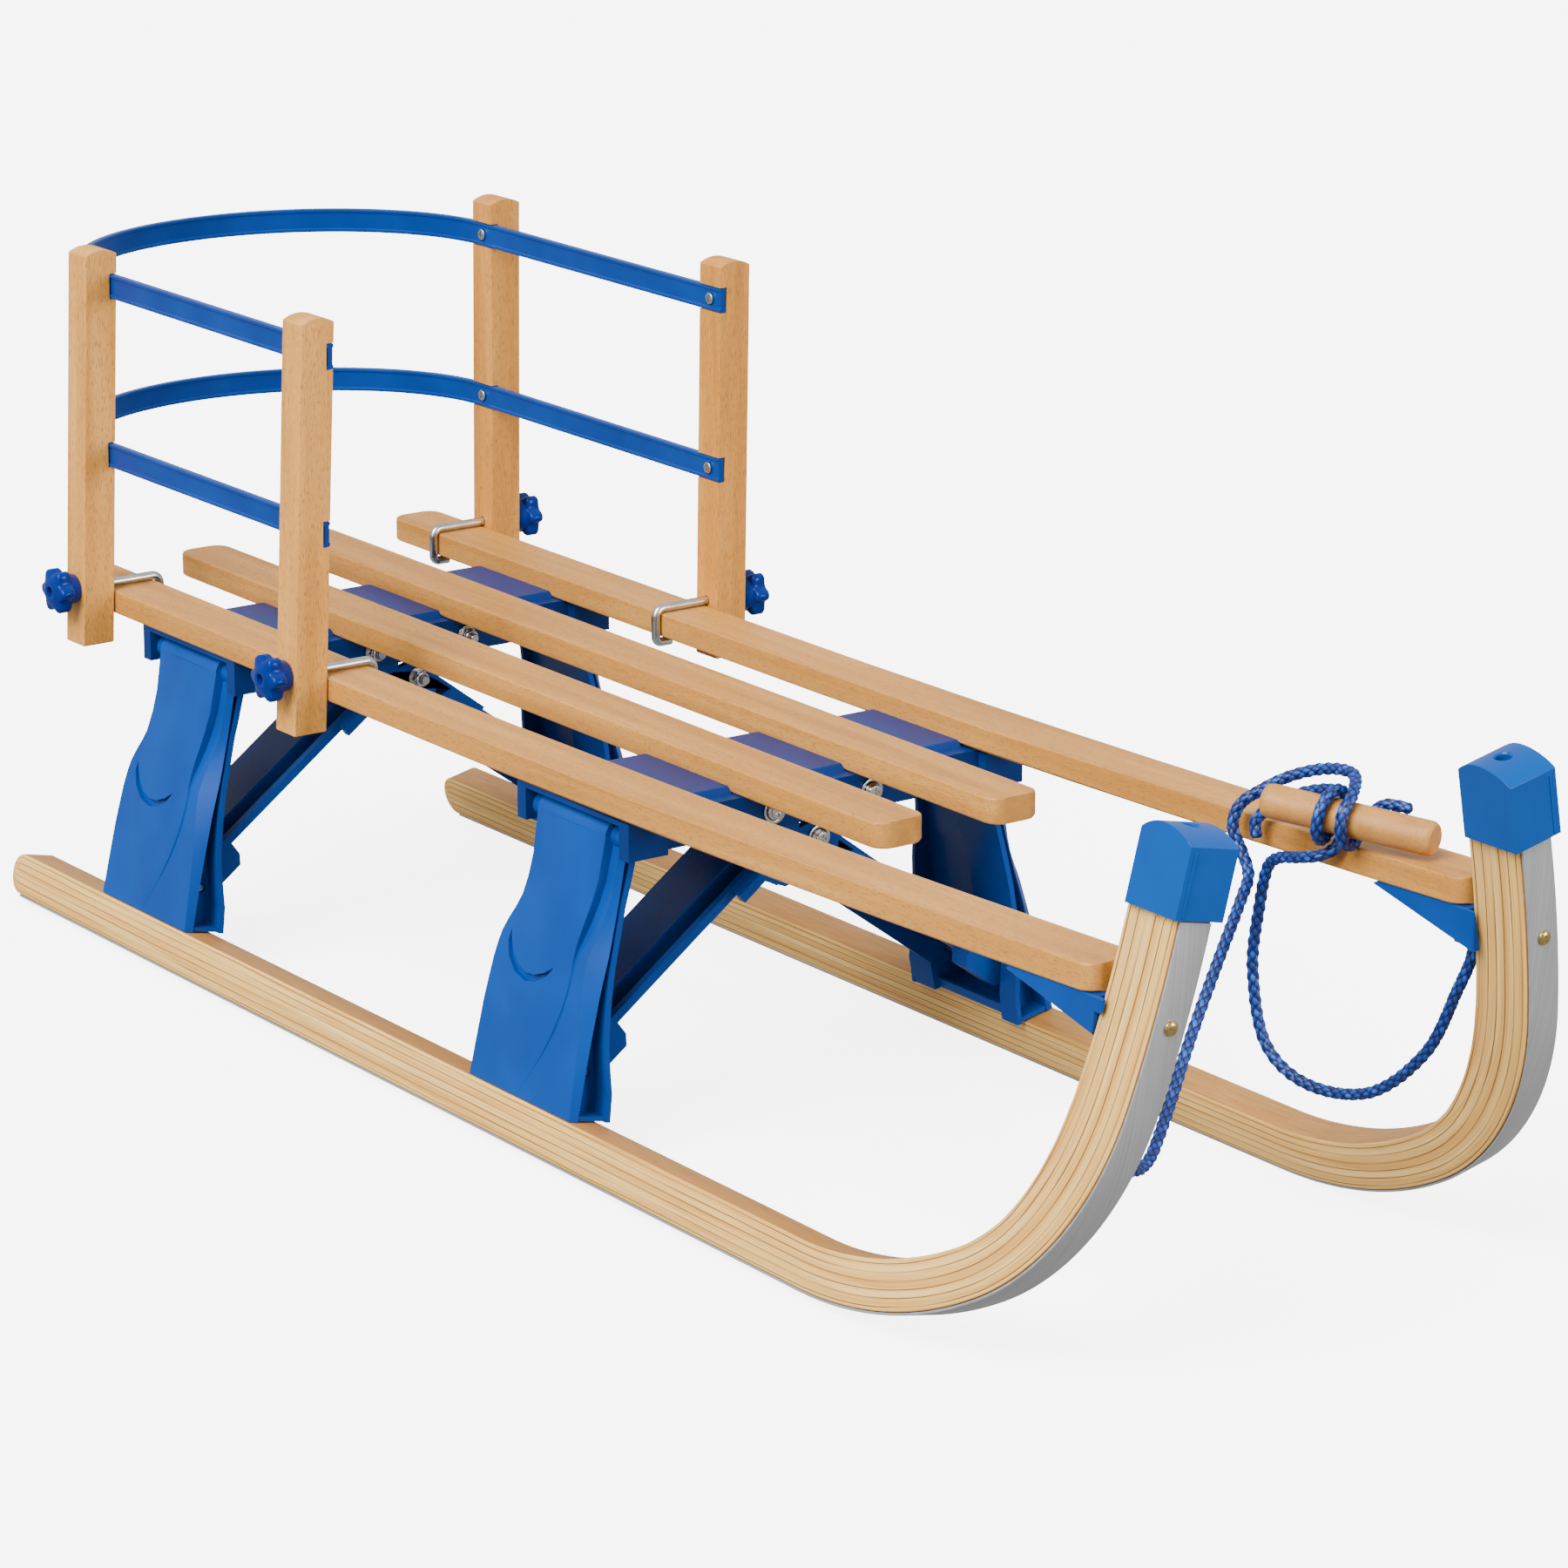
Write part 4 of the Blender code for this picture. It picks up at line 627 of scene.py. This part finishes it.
# Sole strips: rolled steel, 20 by 1.5 mm, bent with the runner up to the cap and screwed
# on at the horn. Dull grey along the length, with long faint rolling marks.
steel, tree, shader = new_material("rolled_steel_strip", 0.42, 0.55)
place = node(tree, "TexCoord").outputs["Object"]
# Rolling marks 1.1 mm wide and 330 mm long
stretched = node(tree, "Mapping", {"Scale": (900.0, 3.0, 3.0)}, {"Vector": place}).outputs["Vector"]
marks = noise(tree, stretched, 3.0)
tree.links.new(ramp(tree, marks, [(0.35, "#a6a6a8"), (0.65, "#b2b2b4")]), shader.inputs["Base Color"])
gloss = node(tree, "MapRange", {"To Min": 0.27, "To Max": 0.4}, {"Value": marks}).outputs["Result"]
tree.links.new(gloss, shader.inputs["Roughness"])

STRIP_EDGE = 0.4
shoe = stations + [up_horn(stations, CAP_LOW - 0.9)]
under = [from_sole(station, 0.0) for station in shoe]
over = [from_sole(station, STRIP_THICK) for station in shoe]
for side, hand in ((1, "left"), (-1, "right")):
    strip = lengthwise_piece(hand + "_sole_strip", side, under, over, STRIP_HALF, STRIP_EDGE, 2)
    strip.data.materials.append(steel)
    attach(strip, "sled")
    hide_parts(hand + "_runner_strip")


# Horn caps: thick soft-edged hoods of bright blue plastic, pushed over the horn tops and
# held by a screw down the hole in the crown.
def clouds(tree, place, size_mm):
    """Value that drifts over a piece, with patches of a real size."""
    return node(tree, "TexNoise", {"Scale": 1.0 / (size_mm * MM), "Detail": 2.0},
                {"Vector": place}).outputs["Fac"]


def moulded(name, bright, dark, roughness):
    """Injection-moulded plastic: even colour, a fine spark-eroded texture and soft gloss."""
    material, tree, shader = new_material(name, roughness, gloss=0.16)
    place = node(tree, "TexCoord").outputs["Object"]
    cloud = clouds(tree, place, 45.0)
    tree.links.new(ramp(tree, cloud, [(0.3, dark), (0.7, bright)], True), shader.inputs["Base Color"])
    # Spark-eroded grain is about 0.1 mm; drawn at 0.5 mm so that it shows
    grain = clouds(tree, place, 0.5)
    bump = node(tree, "Bump", {"Strength": 0.06, "Distance": 0.08 * MM}, {"Height": grain})
    tree.links.new(bump.outputs["Normal"], shader.inputs["Normal"])
    gloss = node(tree, "MapRange", {"To Min": roughness - 0.05, "To Max": roughness + 0.06},
                 {"Value": cloud})
    tree.links.new(gloss.outputs["Result"], shader.inputs["Roughness"])
    return material


cap_blue = moulded("moulded_polypropylene_bright_blue", "#004796", "#00428c", 0.25)
CAP_NOSE = 3.9 * MM  # from the cap's foremost point back to the sole line at its foot
HORN_LEAN = 0.052  # forward per unit of height
CAP_HINGE = 26.5 * MM  # depth from the sole line, behind the hole in the crown
CAP_SQUEEZE = 0.3  # behind it; the real cap has next to no rim behind the horn
for hand in ("left", "right"):
    cap = polished(hand + "_horn_cap", 0.8, "sled", cap_blue)
    low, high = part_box(hand + "_horn_cap")
    for vertex in cap.data.vertices:
        depth = vertex.co.y - low[1] - CAP_NOSE + HORN_LEAN * (vertex.co.z - low[2])
        vertex.co.y -= CAP_SQUEEZE * max(depth - CAP_HINGE, 0.0)
    cap.data.update()

# Horn brackets: blue plastic gussets under the front ends of the outer slats, screwed to
# the horn and to the slat; the rope is held in their lower front corner.
frame_blue = moulded("moulded_polyamide_blue", "#003e8e", "#003882", 0.3)
for hand in ("left", "right"):
    polished(hand + "_horn_bracket", 0.4, "sled", frame_blue, 2)

# Legs, half bridges and braces: glass-filled polyamide mouldings, open on the inside and
# ribbed, hinged to each other so that the sled folds flat once the backrest is off.
# The half bridges take a darker, rougher copy of the frame's polyamide: its darker colour is painted
# shade.
bridge_blue_painted_shade = moulded("moulded_polyamide_blue_painted_shade", "#002c6c", "#002660", 0.34)
for end in ("front", "rear"):
    for hand in ("left", "right"):
        polished(end + "_" + hand + "_leg", 0.5, "sled", frame_blue, 2)
        polished(end + "_" + hand + "_half_bridge", 0.4, "sled", bridge_blue_painted_shade, 2)
        polished(end + "_" + hand + "_brace", 0.4, "sled", frame_blue, 2)

# Hinge pins, foot pins, bolts and nuts: M6 steel with a bright zinc plating. They join the
# legs, half bridges and braces, with lock nuts at the rear station.
zinc, tree, shader = new_material("bright_zinc_plating", 0.24, 1.0)
place = node(tree, "TexCoord").outputs["Object"]
cloud = clouds(tree, place, 9.0)
tree.links.new(ramp(tree, cloud, [(0.3, "#bcbebd"), (0.7, "#cdcfcd")]), shader.inputs["Base Color"])
gloss = node(tree, "MapRange", {"To Min": 0.18, "To Max": 0.3}, {"Value": cloud}).outputs["Result"]
tree.links.new(gloss, shader.inputs["Roughness"])
for end in ("front", "rear"):
    for hand in ("left", "right"):
        for kind in ("hinge_pin", "foot_pin"):
            polished(end + "_" + hand + "_" + kind, 0.0, "sled", zinc)
    for place_word in ("right_bridge", "left_bridge", "crossing"):
        polished(end + "_" + place_word + "_bolt", 0.0, "sled", zinc)
        if end == "rear":
            polished(end + "_" + place_word + "_nut", 0.25, "sled", zinc, 2)


# Screws and washers that no solid stands for: pan-head screws with a cross recess, and
# plain washers, of the same zinc plating.
def put_down(piece, place, outward, body, material):
    """Turn a piece made upright at the origin to face outward, move it, and hand it over."""
    turn = Vector((0, 0, 1)).rotation_difference(Vector(outward)).to_matrix().to_4x4()
    piece.data.transform(Matrix.Translation(place) @ turn)
    piece.data.update()
    piece.data.materials.clear()
    piece.data.materials.append(material)
    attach(piece, body)
    return piece


def screw_head(name, diameter, height, place, outward, body, material):
    """Pan head with a cross recess, its flat underside at the given place."""
    bpy.ops.object.select_all(action="DESELECT")
    bpy.ops.mesh.primitive_cylinder_add(vertices=32, radius=diameter / 2 * MM, depth=height * MM,
                                        location=(0, 0, height / 2 * MM))
    head = bpy.context.object
    head.name = name
    rounding = head.modifiers.new("rounding", "BEVEL")
    rounding.width = height * 0.42 * MM
    rounding.segments = 4
    rounding.limit_method = "ANGLE"
    bpy.ops.object.modifier_apply(modifier=rounding.name)
    for turn in (0.0, math.pi / 2):
        bpy.ops.object.select_all(action="DESELECT")
        bpy.ops.mesh.primitive_cube_add(size=1.0, location=(0, 0, height * MM), rotation=(0, 0, turn))
        blade = bpy.context.object
        blade.scale = (diameter * 0.55 * MM, diameter * 0.13 * MM, height * 1.1 * MM)
        bpy.ops.object.transform_apply(location=True, rotation=True, scale=True)
        use_alone(head)
        recess = head.modifiers.new("recess", "BOOLEAN")
        recess.operation = "DIFFERENCE"
        recess.object = blade
        bpy.ops.object.modifier_apply(modifier=recess.name)
        bpy.data.objects.remove(blade)
    use_alone(head)
    bpy.ops.object.transform_apply(location=True, rotation=True, scale=True)
    bpy.ops.object.shade_smooth_by_angle(angle=SMOOTH_UNDER)
    return put_down(head, place, outward, body, material)


def washer(name, outer, inner, thick, place, outward, body, material):
    """Plain stamped washer with softened edges."""
    bpy.ops.object.select_all(action="DESELECT")
    bpy.ops.mesh.primitive_cylinder_add(vertices=40, radius=outer / 2 * MM, depth=thick * MM,
                                        location=(0, 0, thick / 2 * MM))
    ring = bpy.context.object
    ring.name = name
    bpy.ops.object.select_all(action="DESELECT")
    bpy.ops.mesh.primitive_cylinder_add(vertices=40, radius=inner / 2 * MM, depth=thick * 4 * MM)
    bore = bpy.context.object
    use_alone(ring)
    opening = ring.modifiers.new("opening", "BOOLEAN")
    opening.operation = "DIFFERENCE"
    opening.object = bore
    bpy.ops.object.modifier_apply(modifier=opening.name)
    bpy.data.objects.remove(bore)
    use_alone(ring)
    bpy.ops.object.transform_apply(location=True, rotation=True, scale=True)
    rounding = ring.modifiers.new("rounding", "BEVEL")
    rounding.width = thick * 0.25 * MM
    rounding.segments = 2
    rounding.limit_method = "ANGLE"
    bpy.ops.object.modifier_apply(modifier=rounding.name)
    bpy.ops.object.shade_smooth_by_angle(angle=SMOOTH_UNDER)
    return put_down(ring, place, outward, body, material)


# Front station: each bolt shows a cross recess in its head, over a plain washer.
AHEAD = (0, -1, 0)
for place_word, x, z in (("right_bridge", -33.6, 188.0), ("left_bridge", 33.6, 188.0),
                         ("crossing", 0.0, 165.5)):
    low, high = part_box("front_" + place_word + "_bolt")
    face = (low[1] / MM) - SHIFT_Y
    name = "front_" + place_word
    screw_head(name + "_recessed_head", 8.6, 1.4, sled_point(x, face + 0.2, z), AHEAD, "sled", zinc)
    washer(name + "_washer", 15.0, 11.3, 1.0, sled_point(x, face + 3.35, z), AHEAD, "sled", zinc)

# Strip screws: one at the top of each sole strip, driven into the horn; steel with a
# yellow zinc plating.
yellow_zinc, tree, shader = new_material("yellow_zinc_plating", 0.25, 1.0)
place = node(tree, "TexCoord").outputs["Object"]
cloud = clouds(tree, place, 1.5)
tree.links.new(ramp(tree, cloud, [(0.3, "#b0904a"), (0.7, "#d8c07a")]), shader.inputs["Base Color"])
for hand in ("left", "right"):
    polished(hand + "_strip_screw", 0.0, "sled", yellow_zinc)

# Backrest posts: 22 mm square beech with domed tops, notched on the inside for the bows and
# drilled for the hooks. The right pair is a little paler than the left.
POST_TONES = {"right": ("#e6a650", "#db9a46", "#cc8c3c"), "left": ("#d6943e", "#ca8834", "#bc7a2c")}
for i, name in enumerate(("front_left", "front_right", "rear_left", "rear_right")):
    tones = POST_TONES[name.split("_")[1]]
    wood = beech("planed_beech_" + name + "_post", "Z", (0.21 * i, 0.13 * i, 0.4 * i), *tones, 0.5)
    polished(name + "_post", 0.4, "backrest", wood, 2)

# Bows: two bent bands of blue plastic, 4.5 by 15 mm, with a raised lip along both long edges,
# let into the posts and screwed through from the inside.
LEAN = math.tan(math.radians(2.8))  # of the backrest, toward the front
HOOK_Z = 217.6
FRONT_HOOK_Y = 216.5
REAR_HOOK_Y = 470.0
BOW_HIGH = 15.0
BOW_DEPTH = 124.0  # of the half ellipse behind the rear posts
BOW_FRONT = FRONT_HOOK_Y - 10.8
ARM_STEPS = 8
ARC_STEPS = 90
# Section of the band: outward and up
BOW_PROFILE = [(-2.25, 0.6), (-2.25, 1.9), (-1.6, 2.5), (-1.6, 12.5), (-2.25, 13.1), (-2.25, 14.4),
               (-1.65, 15.0), (1.65, 15.0), (2.25, 14.4), (2.25, 13.1), (1.5, 12.5), (1.5, 2.5),
               (2.25, 1.9), (2.25, 0.6), (1.65, 0.0), (-1.65, 0.0)]
BOW_SCREW = (7.2, 1.7)  # width and height of its head
bow_blue = moulded("extruded_plastic_bow_blue", "#003888", "#00317c", 0.24)
for name, reach, low in (("lower_bow", 140.05, 77.0), ("upper_bow", 138.2, 183.0)):
    line = [(reach, BOW_FRONT + (REAR_HOOK_Y - BOW_FRONT) * i / ARM_STEPS) for i in range(ARM_STEPS)]
    for i in range(ARC_STEPS + 1):
        turn = math.pi * i / ARC_STEPS
        line.append((reach * math.cos(turn), REAR_HOOK_Y + BOW_DEPTH * math.sin(turn)))
    line += [(-reach, REAR_HOOK_Y + (BOW_FRONT - REAR_HOOK_Y) * i / ARM_STEPS)
             for i in range(1, ARM_STEPS + 1)]
    places = []
    for i, (x, y) in enumerate(line):
        before = line[max(0, i - 1)]
        after = line[min(len(line) - 1, i + 1)]
        run = Vector((after[0] - before[0], after[1] - before[1])).normalized()
        for across, up in BOW_PROFILE:
            z = HOOK_Z + low + up
            places.append(sled_point(x + run.y * across, y - run.x * across - LEAN * (z - HOOK_Z), z))
    bow = new_piece(name + "_band", places, tube_faces(len(line), len(BOW_PROFILE)))
    use_alone(bow)
    bpy.ops.object.shade_smooth_by_angle(angle=math.radians(30))
    bow.data.materials.append(bow_blue)
    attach(bow, "backrest")
    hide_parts(name)
    middle = HOOK_Z + low + BOW_HIGH / 2
    for side, hand in ((1, "left"), (-1, "right")):
        for end, hook_y in (("front", FRONT_HOOK_Y), ("rear", REAR_HOOK_Y)):
            place = sled_point(side * (reach - 1.7), hook_y - LEAN * (middle - HOOK_Z), middle)
            screw_head(end + "_" + hand + "_" + name + "_screw", *BOW_SCREW, place, (-side, 0, 0),
                       "backrest", zinc)

# Hooks: 5.5 mm zinc-plated rod that passes through the post, lies over the slat and is
# bent round its inner edge.
ROD_RADIUS = 2.75
HOOK_X = 101.3
HOOK_FOOT_Z = 196.4
HOOK_FOOT = 11.0
TOP_BEND = 5.4
FOOT_BEND = 3.6
POST_IN = 137.6
KNOB_IN = 161.6
KNOB_OUT = 179.2
HOOK_ROUND = 24
hook_line = [(KNOB_OUT - 7.2, HOOK_Z), (KNOB_IN, HOOK_Z), (POST_IN, HOOK_Z), (HOOK_X + TOP_BEND, HOOK_Z)]
for i in range(1, 13):
    turn = math.pi / 2 * i / 12
    hook_line.append((HOOK_X + TOP_BEND - TOP_BEND * math.sin(turn),
                      HOOK_Z - TOP_BEND + TOP_BEND * math.cos(turn)))
for i in range(11):
    turn = math.pi / 2 * i / 10
    hook_line.append((HOOK_X + FOOT_BEND - FOOT_BEND * math.cos(turn),
                      HOOK_FOOT_Z + FOOT_BEND - FOOT_BEND * math.sin(turn)))
hook_line.append((HOOK_X + HOOK_FOOT, HOOK_FOOT_Z))
for side, hand in ((1, "left"), (-1, "right")):
    for end, hook_y in (("front", FRONT_HOOK_Y), ("rear", REAR_HOOK_Y)):
        name = end + "_" + hand + "_hook"
        rings = []
        for i, (x, z) in enumerate(hook_line):
            before = hook_line[max(0, i - 1)]
            after = hook_line[min(len(hook_line) - 1, i + 1)]
            run = Vector((after[0] - before[0], after[1] - before[1])).normalized()
            for j in range(HOOK_ROUND):
                turn = 2 * math.pi * j / HOOK_ROUND
                out = ROD_RADIUS * math.cos(turn)
                rings.append(sled_point(side * (x - run.y * out), hook_y + ROD_RADIUS * math.sin(turn),
                                        z + run.x * out))
        hook = new_piece(name + "_rod", rings, tube_faces(len(hook_line), HOOK_ROUND))
        use_alone(hook)
        bpy.ops.object.shade_smooth_by_angle(angle=SMOOTH_UNDER)
        ends = hook.modifiers.new("broken_end", "BEVEL")
        ends.width = 0.5 * MM
        ends.segments = 2
        ends.limit_method = "ANGLE"
        ends.angle_limit = math.radians(60)
        bpy.ops.object.modifier_apply(modifier=ends.name)
        hook.data.materials.append(zinc)
        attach(hook, name)
        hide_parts(name)

# Star knobs: blue plastic with six lobes and hollow flanks, a domed front face round the
# hole, and a round collar toward the post. They run on the threaded end of each hook.
KNOB_ROUND = 96
KNOB_LOBES = 6
# Distance out from the post, mean radius, and height of the lobes over it
KNOB_SHAPE = [(0.0, 8.7, 0.0), (0.5, 9.1, 0.0), (5.0, 9.9, 0.0), (6.2, 10.3, 0.0), (6.3, 11.2, 1.2),
              (7.0, 12.1, 1.6), (8.0, 12.6, 1.9), (14.4, 12.6, 1.9), (15.4, 12.0, 1.7),
              (16.0, 11.0, 1.3), (16.3, 9.6, 0.7), (16.6, 8.4, 0.2), (17.2, 7.0, 0.0),
              (17.55, 5.4, 0.0), (17.6, 4.2, 0.0), (17.3, 3.3, 0.0), (16.0, 3.1, 0.0), (9.0, 3.1, 0.0)]
knob_blue = moulded("moulded_polyamide_knob_blue", "#002478", "#00206c", 0.2)
for side, hand in ((1, "left"), (-1, "right")):
    for end, hook_y in (("front", FRONT_HOOK_Y), ("rear", REAR_HOOK_Y)):
        name = end + "_" + hand + "_knob"
        rings = []
        for out, radius, lobe in KNOB_SHAPE:
            for j in range(KNOB_ROUND):
                turn = 2 * math.pi * j / KNOB_ROUND
                wave = math.cos(KNOB_LOBES * turn)
                reach = radius + lobe * (wave if wave < 0 else wave ** 0.8)
                rings.append(sled_point(side * (KNOB_IN + out), hook_y + reach * math.cos(turn),
                                        HOOK_Z + reach * math.sin(turn)))
        knob = new_piece(name + "_star", rings, tube_faces(len(KNOB_SHAPE), KNOB_ROUND))
        use_alone(knob)
        bpy.ops.object.shade_smooth_by_angle(angle=math.radians(38))
        knob.data.materials.append(knob_blue)
        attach(knob, name)
        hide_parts(name)
